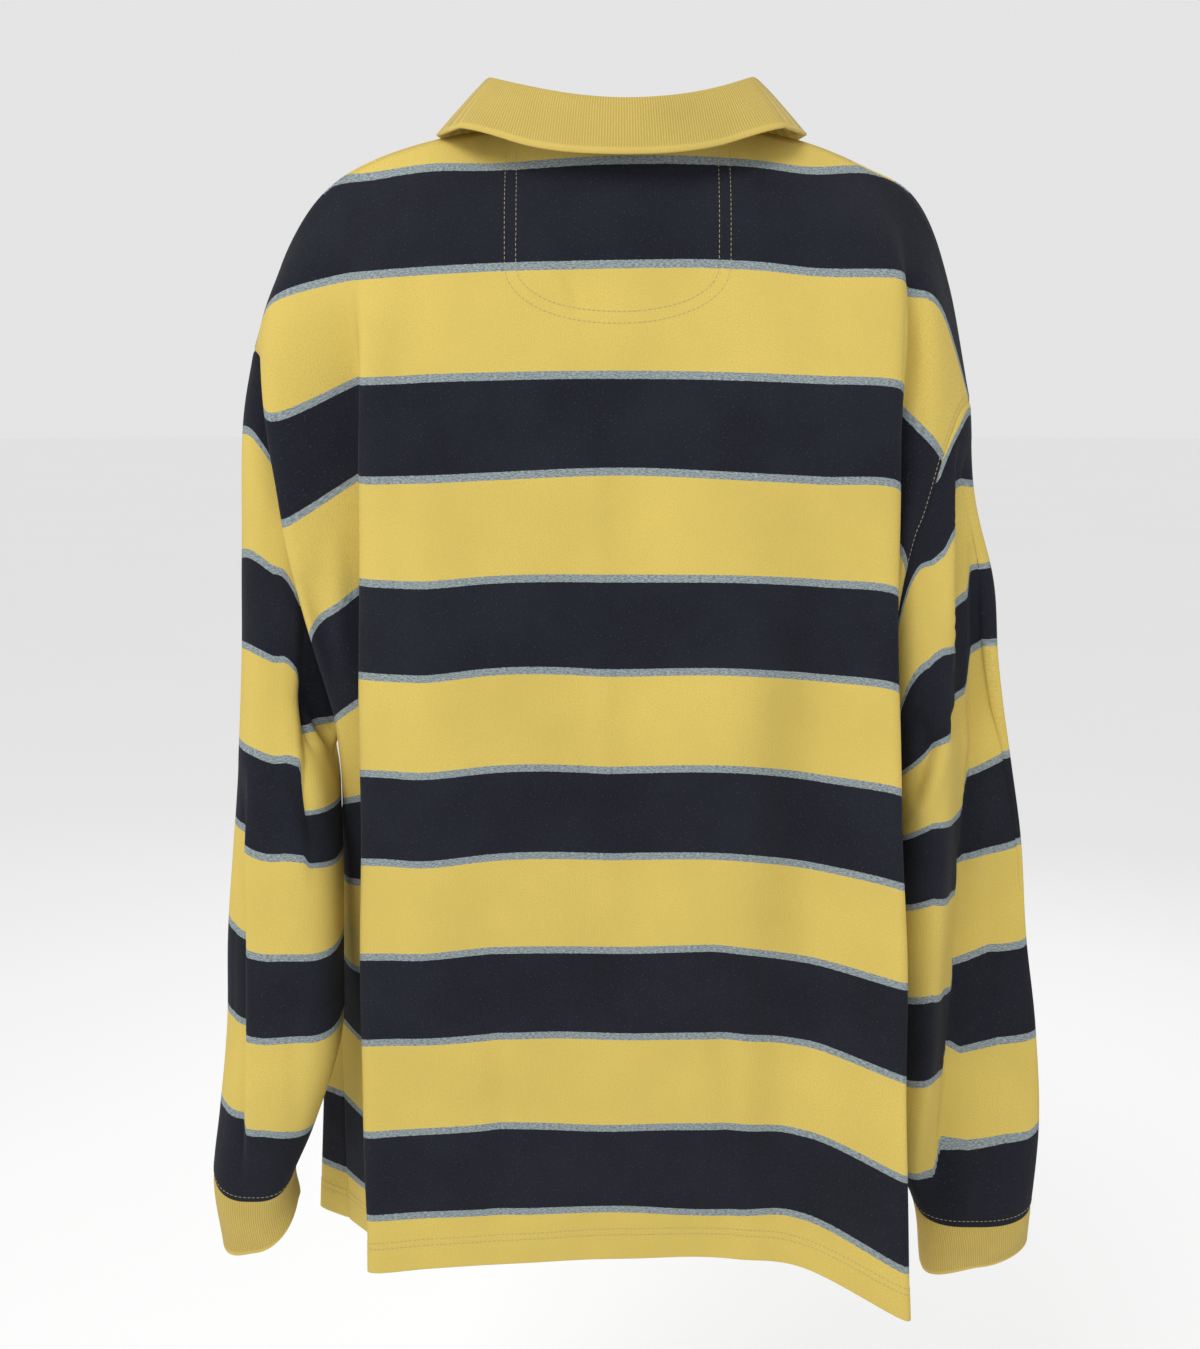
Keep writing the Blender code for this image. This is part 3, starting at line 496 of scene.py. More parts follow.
@dataclasses.dataclass
class Cloth:
    """A knitted piece: its middle surface, its faces, and where each face corner lies on the flat knit."""

    grid: np.ndarray  # points[row][column]
    faces: np.ndarray
    on_knit: np.ndarray  # across and down, for each corner of each face
    down: np.ndarray  # for each point
    from_seam: np.ndarray
    normals: np.ndarray = None

    @property
    def points(self):
        return self.grid.reshape(-1, 3)


def grid_faces(rows, columns, closed=False, flip=False):
    """Quads over a grid of points numbered row by row, each with its row and column."""
    wide = columns if closed else columns - 1
    row, column = (index.reshape(-1) for index in np.indices((rows - 1, wide)))
    beside = (column + 1) % columns
    here, below = row * columns, (row + 1) * columns
    faces = np.stack([here + column, below + column, below + beside, here + beside], -1)
    return (faces[:, ::-1] if flip else faces), row, column


def knitted(grid, down, from_seam, closed=False, flip=False, keep=None, lead=0.0):
    """A Cloth over a grid, its across measured along the middle row and its stripes ahead by the lead."""
    rows, columns = grid.shape[:2]
    faces, row, column = grid_faces(rows, columns, closed, flip)
    middle = grid[rows // 2]
    around = np.vstack([middle, middle[:1]]) if closed else middle
    across = travelled(around)
    down = np.broadcast_to(down, (rows, columns))
    u = across[np.stack([column, column, column + 1, column + 1], -1)]
    v = (down + lead).reshape(-1)[faces if not flip else faces[:, ::-1]]
    on_knit = np.stack([u, v], -1)
    if flip:
        on_knit = on_knit[:, ::-1]
    if keep is not None:
        faces, on_knit = faces[keep(row, column)], on_knit[keep(row, column)]
    from_seam = np.broadcast_to(from_seam, (rows, columns)).reshape(-1)
    return Cloth(grid.copy(), faces, on_knit, down.reshape(-1), from_seam)


def row_shares():
    """How far down each row lies, as a share of a column: even along the armhole, then to the hem."""
    to_underarm = (UNDERARM - SHOULDER_DROP) / (LENGTH - SHOULDER_DROP)
    upper = np.linspace(0, to_underarm, ARMHOLE_ROWS * ARMHOLE_SPLITS + 1)
    lower = np.linspace(to_underarm, 1, SIDE_ROWS * SIDE_SPLITS + 1)[1:]
    hem = 1 - np.array(HEM_ROWS[::-1]) / LENGTH
    return np.concatenate([upper, lower[lower < hem[0] - EDGE_ROWS[1]], hem, [1]])


def panel_columns(front):
    """The columns across a panel from its left seam to its right, and the coarse faces between each two."""
    outer, steps = zip(*OUTER_STEPS)
    if front:
        middle, middle_steps = ["placket_left", "placket_right"], (NECK_STEPS, SLIT_STEPS, NECK_STEPS)
    else:
        middle, middle_steps = ["centre"], (NECK_STEPS, NECK_STEPS)
    left, right = [f"{name}_left" for name in outer], [f"{name}_right" for name in reversed(outer)]
    return ["seam_left", *left, *middle, *right, "seam_right"], steps + middle_steps + steps[::-1]


def neck_top(x, front):
    """The neck edge at this place between the neck points, as down, x, y and z."""
    dip = 1 - (x / NECK_HALF_WIDTH) ** 2
    side = "front" if front else "back"
    depth = NECK_DEPTHS["ends"] + (NECK_DEPTHS[side] - NECK_DEPTHS["ends"]) * dip
    drop = NECK_DROPS[side] * dip
    return (drop, x, depth, -drop)


def top_edge(tops, knots, named, front, at):
    """The shoulder seams and neck edge, the seams the same on both panels, with their distance down."""
    edge = np.array(tops, float)
    left, right = named["neck_left"], named["neck_right"]
    line = np.empty((len(at), 4))
    for line_side, knot_side in ((at <= left, knots <= left), (at >= right, knots >= right)):
        line[line_side] = smooth(np.column_stack([knots[knot_side], edge[knot_side]]), at[line_side])
    neck = (at >= left) & (at <= right)
    across = smooth(np.column_stack([knots, edge[:, 1]]), at[neck])[:, 0]
    across = across * NECK_HALF_WIDTH / abs(across[0])
    line[neck] = [neck_top(x, front) for x in across]
    return line[:, 1:], line[:, 0]


def panel(front):
    """The middle surface of a panel as points[row][column], with its distance down and its named columns."""
    folds = FRONT_FOLDS if front else BACK_FOLDS
    names, steps = panel_columns(front)
    shares = row_shares()
    turn = -1 if front else 1
    knots = np.concatenate([[0], np.cumsum(steps)])
    tops, columns = [], []
    for name in names:
        side = name.removeprefix("seam_")
        if side in SIDES:
            top = (SHOULDER_DROP, *sleeve_points(side, 0.0, 0.0))
        else:
            top = metres(TOP[name]) if name in TOP else neck_top(metres(folds[name])[0, 1], front)
        down = top[0] + (LENGTH - top[0]) * shares
        column = seam_column(side, down, turn) if side in SIDES else fold_column(top, folds[name], down)
        tops.append(top)
        columns.append(np.column_stack([column, down]))
    columns = np.array(columns)
    at = np.linspace(0, knots[-1], knots[-1] * COLUMN_SPLITS + 1)
    rows = np.stack([smooth(np.column_stack([knots, row]), at) for row in columns.swapaxes(0, 1)])
    named = dict(zip(names, knots))
    edge = np.column_stack(top_edge(tops, knots, named, front, at))
    fade = np.clip(1 - shares / shares[ARMHOLE_SPLITS], 0, 1)
    rows = rows + fade[:, None, None] * (edge - rows[0])
    return rows[..., :3], rows[..., 3], {name: place * COLUMN_SPLITS for name, place in named.items()}


def fold_leads(down, at, leads):
    """How far the stripes of a panel run ahead at each point, spread between its named columns."""
    columns = [smooth(metres(leads.get(name, NO_LEAD)), down[:, place])[:, 0] for name, place in at.items()]
    return smooth(np.column_stack([list(at.values()), columns]), np.arange(down.shape[1])).T


def to_edges(points):
    """Each point's distance along its row to the nearer end of the row."""
    along = travelled(points, axis=1)
    return np.minimum(along, along[:, -1:] - along)


def ring_rows(begin, end):
    """Rows along a sleeve or cuff, closer beside its two ends."""
    edges = np.array(EDGE_ROWS)
    even = np.linspace(begin, end, round((end - begin) / RING_PITCH) + 1)
    clear = edges[-1] * RING_EDGE_CLEAR
    even = even[(even > begin + clear) & (even < end - clear)]
    return np.concatenate([[begin], begin + edges, even, end - edges[::-1], [end]])


def sleeve_cloth(side, begin, end):
    """A sleeve, or the cuff below it, between two places along the sleeve."""
    count = 2 * ARMHOLE_ROWS * ARMHOLE_SPLITS
    angles = 2 * math.pi * np.arange(count) / count
    along = ring_rows(begin, end)
    grid = sleeve_points(side, along[:, None], angles[None, :])
    is_cuff = begin > 0
    down = (end - along if is_cuff else along - SLEEVE_PATTERN_START)[:, None]
    seams = (along - begin) if is_cuff else np.minimum(along - begin, end - along)
    lead = np.zeros(grid.shape[:2]) if is_cuff else sleeve_lead(side, along, grid[..., 0], np.sin(angles))
    return knitted(grid, down, seams[:, None], closed=True, flip=side == "right", lead=lead)


def sleeve_lead(side, along, x, near):
    """How far a sleeve's stripes run ahead at each point, from its outer edge to its underarm.

    The side nearest -Y follows the table, and the far side runs evenly between the table's ends.
    """
    rows = smooth(metres(SLEEVE_LEADS[side]), along)
    outer, inner = x.max(axis=1), x.min(axis=1)
    if side == "left":
        outer, inner = inner, outer
    share = (x - outer[:, None]) / (inner - outer)[:, None]
    shown = np.stack([np.interp(place, LEAD_ACROSS, row) for place, row in zip(share, rows)])
    even = rows[:, :1] + (rows[:, -1:] - rows[:, :1]) * share
    return even + (shown - even) * np.clip(near + 0.5, 0, 1)  # evenly past 30 degrees round the far side


def collar_cloth(back, back_at, front, front_at):
    """The collar from the front's left end round the back to the right end, from neck edge to free edge."""
    left = front[0, front_at["neck_left"] : front_at["placket_left"] + 1][::-1]
    behind = back[0, back_at["neck_left"] : back_at["neck_right"] + 1]
    right = front[0, front_at["placket_right"] : front_at["neck_right"] + 1][::-1]
    neck = np.vstack([left[:-1], behind, right[1:]])
    count = len(neck)
    half = (count - 1) / 2
    front_count = len(left) - 1
    steps = half - np.abs(np.arange(count) - half)
    rounds = np.where(
        steps < front_count,
        0.5 * steps / front_count,
        0.5 + 0.5 * (steps - front_count) / (half - front_count),
    )
    stand, fold_out, fall, edge_out, edge_side, edge_fore = metres(smooth(COLLAR, rounds)).T
    way = np.gradient(neck, axis=0)
    out = unit(np.column_stack([way[:, 1], -way[:, 0], np.zeros(count)]))
    upright = np.array([0, 0, 1.0])
    turned = np.column_stack([np.sign(neck[:, 0]) * edge_side, edge_fore, np.zeros(count)])
    way = unit(way)
    lean = COLLAR_LEAN * np.clip((LEAN_ENDS - rounds) / LEAN_FADE, 0, 1)[:, None]
    up = unit(upright - lean * way[:, 2:] * way)
    rows = [neck]
    for height, reach in COLLAR_STAND:
        rows.append(neck + up * stand[:, None] * height + out * (fold_out * reach)[:, None])
    folded = neck + up * (stand[:, None] + COLLAR_ROLL)
    rows.append(folded + out * (fold_out[:, None] + ROLL_REACH))
    for share, belly in COLLAR_FALL:
        reach = fold_out + FALL_REACH + (edge_out - fold_out) * share + metres(belly)
        fallen = upright * (COLLAR_ROLL + fall * share)[:, None]
        rows.append(folded - fallen + out * reach[:, None] + turned * share**EDGE_TURN)
    places = np.arange(len(rows))
    fine = np.linspace(0, places[-1], places[-1] * COLLAR_SPLITS + 1)
    grid = smooth(np.column_stack([places, np.array(rows).reshape(len(rows), -1)]), fine)
    grid = grid.reshape(len(fine), count, 3)
    length = travelled(grid)
    return knitted(grid, length[-1] - length, 1.0, flip=True)


def band_cloth(front, rows, half_width, offset):
    """A placket band over the slit, made from the front panel's points moved out or in."""
    across = np.linspace(-half_width, half_width, BAND_COLUMNS + 1)
    lines = [[np.interp(across, row[:, 0], row[:, axis]) for axis in range(3)] for row in front[: rows + 1]]
    grid = np.moveaxis(np.array(lines), 1, 2)
    grid[..., 0] = across
    grid[..., 1] += offset
    grid[0, :, 2] -= BAND_BELOW_NECK
    return knitted(grid, travelled(grid[:, 0])[:, None], 1.0, flip=True)


def sew(pieces):
    """Gives every piece outward normals, averaged over the faces that meet at a place, across seams too."""
    points = np.vstack([piece.points for piece in pieces])
    _, place = np.unique(np.round(points, 5), axis=0, return_inverse=True)
    place = place.reshape(-1)
    found = np.zeros((place.max() + 1, 3))
    first = 0
    for piece in pieces:
        corners = piece.points[piece.faces]
        facing = np.cross(corners[:, 2] - corners[:, 0], corners[:, 3] - corners[:, 1])
        for corner in range(4):
            np.add.at(found, place[first + piece.faces[:, corner]], facing)
        first += len(piece.points)
    first = 0
    for piece in pieces:
        piece.normals = unit(found[place[first : first + len(piece.points)]])
        first += len(piece.points)


def along_path(points, path):
    """Each point's distance from a path of (x, z), how far along that is, 0 to 1, and its side, 1 or -1."""
    starts, lengths = travelled(path), np.linalg.norm(np.diff(path, axis=0), axis=1)
    near, place, side = np.full(len(points), np.inf), np.zeros(len(points)), np.ones(len(points))
    for start, way, length, begun in zip(path, np.diff(path, axis=0), lengths, starts):
        offset = points[:, [0, 2]] - start
        share = np.clip((offset @ way) / length**2, 0, 1)
        apart = offset - share[:, None] * way
        distance = np.linalg.norm(apart, axis=1)
        closer = distance < near
        near[closer] = distance[closer]
        place[closer] = (begun + share[closer] * length) / starts[-1]
        side[closer] = np.sign(way[0] * apart[closer, 1] - way[1] * apart[closer, 0])
    return near, place, side


def faced(cloth, facing):
    """1 where the cloth faces -Y or +Y, by the sign of facing, and 0 round the edge of it and behind."""
    return np.clip((facing * cloth.normals[:, 1] - SEEN_FROM) / SEEN_FADE, 0, 1)


def wrapped(cloth):
    """1 on the near side, falling away round to the far side."""
    return np.clip((SLIP_WRAP - cloth.normals[:, 1]) / SLIP_WRAP, 0, 1)


def eased(value):
    """0 below -1, 1 over 1, and smooth between."""
    part = np.clip((value + 1) / 2, 0, 1)
    return part**2 * (3 - 2 * part)


def creased(cloth, group):
    """How far the creases move each point out along its normal."""
    moved = np.zeros(len(cloth.points))
    clear = np.clip(cloth.from_seam / SEAM_CLEAR, 0, 1)
    for (on, facing), creases in CREASES.items():
        for height, width, path in creases if on == group else ():
            height, width = metres((height, width))
            near, place, _ = along_path(cloth.points, metres(path))
            taper = np.clip(4 * place * (1 - place), 0, 1) ** CREASE_TAPER
            moved += height * np.exp(-((near / (width / 2)) ** 2)) * taper * faced(cloth, facing) * clear
    return moved


def pleated(cloth, group):
    """How far the pleats set each point back along its normal, and how far ahead its stripes are."""
    back, ahead = np.zeros(len(cloth.points)), np.zeros(len(cloth.points))
    clear = np.clip(cloth.from_seam / SEAM_CLEAR, 0, 1)
    for side, ends, depth, slip, reach, path in PLEATS.get(group, ()):
        depth, slip, reach = metres((depth, slip, reach))
        near, place, turned = along_path(cloth.points, metres(path))
        beyond = near * turned * side
        shown = np.clip(np.minimum(place, 1 - place) / ends, 0, 1) * np.clip(1 - near / reach, 0, 1)
        back += depth * eased(beyond / PLEAT_SOFTNESS) * shown * faced(cloth, -1) * clear
        ahead += slip * eased(beyond / SLIP_SOFTNESS) * shown * wrapped(cloth)
    return back, ahead


def level_underarm(cloth):
    """Lays the stripes level behind the fold at the left underarm."""
    near, _, side = along_path(cloth.points, metres(UNDERARM_FOLD))
    low, high = UNDERARM_ENDS
    share = eased(near * side / SLIP_SOFTNESS) * np.clip((cloth.points[:, 2] - low) / (high - low), 0, 1)
    share = share * wrapped(cloth)
    level = smooth(metres(UNDERARM_PATTERN), -cloth.points[:, 2])[:, 0] - SLEEVE_PATTERN_START
    cloth.on_knit[..., 1] += share[cloth.faces] * (level[cloth.faces] - cloth.on_knit[..., 1])


def rippled(points):
    """A slight unevenness, the same on both sides of a seam."""
    x, y, z = points.T
    return sum(
        height * np.sin(2 * math.pi * (x / across + y / deep + z / down) + start)
        for height, across, deep, down, start in RIPPLES
    )


def sunk(distance, depth=STITCH_SINK, softness=STITCH_SOFTNESS):
    """How far the cloth is drawn in at this distance from a row of stitching or a seam."""
    return -depth * np.exp(-((distance / softness) ** 2))


def patch_row(inset):
    """One row of the half-moon patch's stitching, as (x, z) from its left top round to its right top."""
    half = PATCH_HALF_WIDTH - inset
    depth = PATCH_CURVE_DEPTH - inset
    turn = np.linspace(math.pi, 2 * math.pi, PATCH_CURVE_POINTS)
    x = PATCH_MIDDLE + half * np.sign(np.cos(turn)) * np.abs(np.cos(turn)) ** PATCH_CORNER
    z = PATCH_STRAIGHT_END - depth * np.abs(np.sin(turn)) ** PATCH_CORNER
    tops = np.linspace(PATCH_TOP, PATCH_STRAIGHT_END, PATCH_SIDE_POINTS)[:-1]
    left = np.column_stack([np.full(len(tops), x[0]), tops])
    right = np.column_stack([np.full(len(tops), x[-1]), tops[::-1]])
    return np.vstack([left, np.column_stack([x, z]), right])


def hemmed(cloth):
    """The turned-in hem, a little proud, and sunk along its stitching."""
    from_hem = LENGTH - cloth.down
    lift = (HEM_ROWS_AT[1] + HEM_LIFT_SOFTNESS - from_hem) / HEM_LIFT_SOFTNESS
    return HEM_LIFT * np.clip(lift, 0, 1) + sum(sunk(from_hem - place) for place in HEM_ROWS_AT)


def patched(cloth):
    """The half-moon patch's stitching, sunk into the back."""
    rows = [along_path(cloth.points, patch_row(inset))[0] for inset in (0, PATCH_ROW_GAP)]
    return sum(sunk(near) for near in rows) * faced(cloth, -1)


@functools.lru_cache(maxsize=1)
def garment():
    """Every knitted piece by name, creased and with its final normals."""
    back, back_down, back_at = panel(front=False)
    front, front_down, front_at = panel(front=True)
    slit_from, slit_to = front_at["placket_left"], front_at["placket_right"]
    slit_row = int(np.argmax(front_down[:, slit_from] > NECK_DROPS["front"] + PLACKET_LENGTH))

    def beside_slit(row, column):
        return ~((row < slit_row) & (column >= slit_from) & (column < slit_to))

    back_lead = fold_leads(back_down, back_at, BACK_LEADS)
    whole = {
        "back_knit": knitted(back, back_down, to_edges(back), lead=back_lead),
        "front_knit": knitted(front, front_down, to_edges(front), flip=True, keep=beside_slit),
    }
    groups = {"back_knit": "body", "front_knit": "body"}
    for side in SIDES:
        whole[f"sleeve_{side}_knit"] = sleeve_cloth(side, 0, SLEEVE_LENGTH)
        whole[f"cuff_{side}_rib"] = sleeve_cloth(side, SLEEVE_LENGTH, SLEEVE_LENGTH + CUFF_LENGTH)
        groups[f"sleeve_{side}_knit"] = groups[f"cuff_{side}_rib"] = side
    whole["collar_rib"] = collar_cloth(back, back_at, front, front_at)
    sew(whole.values())
    for name, cloth in whole.items():
        moved = rippled(cloth.points) * RIPPLE_SHARES.get(name, 1.0)
        if name in groups:
            back_set, ahead = pleated(cloth, groups[name])
            moved += creased(cloth, groups[name]) - back_set
            cloth.on_knit[..., 1] += ahead[cloth.faces]
            moved += sunk(cloth.from_seam, SEAM_SINK, SEAM_SOFTNESS)
        if groups.get(name) == "body":
            moved += hemmed(cloth)
        if name == "back_knit":
            moved += patched(cloth)
        if name == "sleeve_left_knit":
            level_underarm(cloth)
        cloth.grid += (cloth.normals * moved[:, None]).reshape(cloth.grid.shape)
    last = slit_row + BAND_SPARE_ROWS
    bands = {
        "placket_upper_cloth": band_cloth(front, last, PLACKET_HALF_WIDTH, LAID_ON),
        "placket_under_cloth": band_cloth(front, last, UNDER_BAND_HALF_WIDTH, -LAID_ON),
    }
    sew(whole.values())
    sew(bands.values())
    return {**whole, **bands}


def feed(tree, node, inputs):
    """Links each input named to a socket, or sets it to a value."""
    for key, value in inputs.items():
        if isinstance(value, bpy.types.NodeSocket):
            tree.links.new(value, node.inputs[key])
        else:
            node.inputs[key].default_value = value


def add(tree, kind, inputs=None, **settings):
    """A node with its settings and its inputs."""
    node = tree.nodes.new(kind)
    for key, value in settings.items():
        setattr(node, key, value)
    feed(tree, node, inputs or {})
    return node


def maths(tree, operation, first, second=0.0, third=0.0):
    return add(tree, "ShaderNodeMath", {0: first, 1: second, 2: third}, operation=operation).outputs[0]


def noise(tree, place, scale, detail=2.0):
    inputs = {"Vector": place, "Scale": scale, "Detail": detail}
    return add(tree, "ShaderNodeTexNoise", inputs).outputs["Fac"]


def ramp(tree, value, low, high):
    """The value carried from between low and high to between 0 and 1."""
    inputs = {"Value": value, "From Min": low, "From Max": high}
    return add(tree, "ShaderNodeMapRange", inputs).outputs["Result"]


def mixed(tree, share, first, second):
    """A colour between two, each a colour or a socket."""
    return add(tree, "ShaderNodeMix", {0: share, 6: first, 7: second}, data_type="RGBA").outputs[2]


def tinted(colour, share):
    return (*(channel * share for channel in colour[:3]), 1)


def mottled(tree, value, low, high, colour, dark, light):
    """The colour, from its dark share to its light one as the value goes from low to high."""
    return mixed(tree, ramp(tree, value, low, high), tinted(colour, dark), tinted(colour, light))


def material(name, roughness, sheen=0.0, sheen_tint=(1, 1, 1, 1), **more):
    """A new material and its surface shader, with what is even all over set on the shader."""
    made = bpy.data.materials.new(name)
    made.use_nodes = True
    surface = made.node_tree.nodes["Principled BSDF"]
    even = {"Roughness": roughness, "Specular IOR Level": 0.1}
    fuzz = {"Sheen Weight": sheen, "Sheen Roughness": 0.5, "Sheen Tint": sheen_tint}
    feed(made.node_tree, surface, {**even, **fuzz, **more})
    return made, made.node_tree, surface


def on_knit(tree):
    """Across and down the flat knit, and the two as a place for noise."""
    place = add(tree, "ShaderNodeUVMap", uv_map=KNIT_MAP).outputs["UV"]
    apart = add(tree, "ShaderNodeSeparateXYZ", {"Vector": place})
    return apart.outputs["X"], apart.outputs["Y"], place


def stretched(tree, place, across, down):
    """The place with its two directions scaled unlike, for long or flat grain."""
    scale = (across, down, 1.0)
    return add(tree, "ShaderNodeVectorMath", {0: place, 1: scale}, operation="MULTIPLY").outputs[0]


def jersey_height(tree, across, down, wale, course):
    """Height of the jersey's stitches: columns of small Vs."""
    column = maths(tree, "FRACT", maths(tree, "DIVIDE", across, wale))
    slant = maths(tree, "ABSOLUTE", maths(tree, "SUBTRACT", column, 0.5))
    row = maths(tree, "ADD", maths(tree, "DIVIDE", down, course), slant)
    loops = maths(tree, "SINE", maths(tree, "MULTIPLY", row, 2 * math.pi))
    ridge = maths(tree, "SINE", maths(tree, "MULTIPLY", column, math.pi))
    return maths(tree, "MULTIPLY_ADD", loops, 0.35, ridge)


def raised(tree, surface, height, strength, distance, **over):
    """The surface's normal bent by the height, over the bumps of another normal where there is one."""
    inputs = {"Height": height, "Strength": strength, "Distance": distance, **over}
    normal = add(tree, "ShaderNodeBump", inputs).outputs["Normal"]
    feed(tree, surface, {"Normal": normal})
    return normal


def striped_jersey(sizes):
    """Yellow and navy stripes with heather lines between them, and a little lint on the navy."""
    made, tree, surface = material("knitted_stripes", 0.92, 0.04, WARM_SHEEN)
    across, down, place = on_knit(tree)
    wobble = maths(tree, "MULTIPLY_ADD", noise(tree, place, 900.0), 0.0008, -0.0004)
    begun = maths(tree, "SUBTRACT", maths(tree, "ADD", down, wobble), sizes.first_stripe)
    turn = maths(tree, "FRACT", maths(tree, "DIVIDE", begun, sizes.stripe_repeat))
    ends = np.cumsum([sizes.grey_line, sizes.navy_stripe, sizes.grey_line]) / sizes.stripe_repeat
    past_grey, past_navy, in_yellow = (maths(tree, "GREATER_THAN", turn, float(end)) for end in ends)
    in_navy = maths(tree, "SUBTRACT", past_grey, past_navy)
    soft, fine = noise(tree, place, 14.0, 3.0), noise(tree, place, 1100.0, 1.0)
    yellow = mottled(tree, soft, 0.3, 0.7, sizes.yellow, 0.93, 1.05)
    yellow = mixed(tree, ramp(tree, fine, 0.35, 0.75), yellow, tinted(sizes.yellow, 0.84))
    navy = mottled(tree, soft, 0.3, 0.7, sizes.navy, 0.85, 1.2)
    lint = ramp(tree, noise(tree, stretched(tree, place, 900, 900), 1.0, 0.0), 0.68, 0.85)
    navy = mixed(tree, maths(tree, "MULTIPLY", lint, 0.14), navy, tinted(sizes.grey, 0.8))
    flecks = noise(tree, stretched(tree, place, 420, 1500), 1.0, 2.0)
    grey = mottled(tree, flecks, 0.38, 0.62, sizes.grey, 0.62, 1.35)
    feed(tree, surface, {"Base Color": mixed(tree, in_yellow, mixed(tree, in_navy, grey, navy), yellow)})
    knit = raised(tree, surface, jersey_height(tree, across, down, sizes.wale, sizes.course), 0.35, 0.0003)
    raised(tree, surface, noise(tree, place, 160.0, 4.0), 0.25, 0.0008, Normal=knit)
    return made


def rib_knit(sizes):
    """Fine rib, its cords running from the seam to a smooth free edge, with painted shade in the valleys
    between the cords.
    """
    made, tree, surface = material("fine_rib", 0.93, 0.06, WARM_SHEEN)
    across, down, place = on_knit(tree)
    cords = maths(tree, "COSINE", maths(tree, "MULTIPLY", across, 2 * math.pi / sizes.rib_pitch))
    height = maths(tree, "MULTIPLY_ADD", cords, 0.5, 0.5)
    ribbed = ramp(tree, down, sizes.smooth_edge * 0.8, sizes.smooth_edge * 1.2)
    soft, fine = noise(tree, place, 22.0, 3.0), noise(tree, place, 1300.0, 1.0)
    colour = mottled(tree, soft, 0.3, 0.7, sizes.rib_yellow, 0.92, 1.06)
    colour = mixed(tree, ramp(tree, fine, 0.4, 0.8), colour, tinted(sizes.rib_yellow, 0.78))
    # painted shade: the valleys between the cords are darkened towards 0.55 of the rib yellow, where shade
    # would fall
    between = maths(tree, "MULTIPLY", maths(tree, "SUBTRACT", 1.0, height), ribbed)
    colour = mixed(tree, maths(tree, "MULTIPLY", between, 0.55), colour, tinted(sizes.rib_yellow, 0.55))
    feed(tree, surface, {"Base Color": colour})
    cord_normal = raised(tree, surface, maths(tree, "MULTIPLY", height, ribbed), 0.6, 0.0006)
    grain = noise(tree, stretched(tree, place, 1500, 900), 1.0, 2.0)
    raised(tree, surface, grain, 0.3, 0.0003, Normal=cord_normal)
    return made


def placket_cloth(sizes):
    """Plain twill with fine slanting lines."""
    made, tree, surface = material("placket_twill", 0.88, 0.04)
    across, down, place = on_knit(tree)
    slanting = maths(tree, "MULTIPLY", maths(tree, "ADD", across, down), 2 * math.pi / sizes.twill_pitch)
    twill = maths(tree, "MULTIPLY_ADD", maths(tree, "SINE", slanting), 0.5, 0.5)
    colour = mottled(tree, noise(tree, place, 40.0, 3.0), 0.3, 0.7, sizes.yellow, 0.9, 1.04)
    colour = mixed(tree, maths(tree, "MULTIPLY", twill, 0.3), colour, tinted(sizes.yellow, 0.7))
    feed(tree, surface, {"Base Color": colour})
    raised(tree, surface, twill, 0.4, 0.0002)
    return made


def sewing_thread(sizes):
    """Thread with a mottle for its twist."""
    made, tree, surface = material("sewing_thread", 0.7, 0.2)
    twist = noise(tree, add(tree, "ShaderNodeTexCoord").outputs["Object"], 2500.0, 1.0)
    colour = mixed(tree, twist, tinted(sizes.thread, 0.75), tinted(sizes.thread, 1.15))
    feed(tree, surface, {"Base Color": colour})
    return made


def button_plastic(sizes):
    """Cloudy plastic with a little light inside it."""
    glow = {"Specular IOR Level": 0.5, "Subsurface Weight": 0.1, "Subsurface Scale": 0.002}
    made, tree, surface = material("button_face", 0.28, **glow)
    place = add(tree, "ShaderNodeTexCoord").outputs["Object"]
    cloud = noise(tree, stretched(tree, place, 220, 220), 1.0, 3.0)
    feed(tree, surface, {"Base Color": mottled(tree, cloud, 0.35, 0.7, sizes.button, 0.86, 1.05)})
    raised(tree, surface, noise(tree, place, 900.0, 2.0), 0.1, 0.0001)
    return made


FINISHES = {
    "striped_jersey": ("knitted_stripes", striped_jersey),
    "rib_knit": ("fine_rib", rib_knit),
    "placket_cloth": ("placket_twill", placket_cloth),
    "button_plastic": ("button_face", button_plastic),
    "thread": ("sewing_thread", sewing_thread),
}


def finish_of(slot, sizes):
    """The material for a slot of the record, or for the thread, made on its first use."""
    name, make = FINISHES[slot]
    return bpy.data.materials.get(name) or make(sizes)


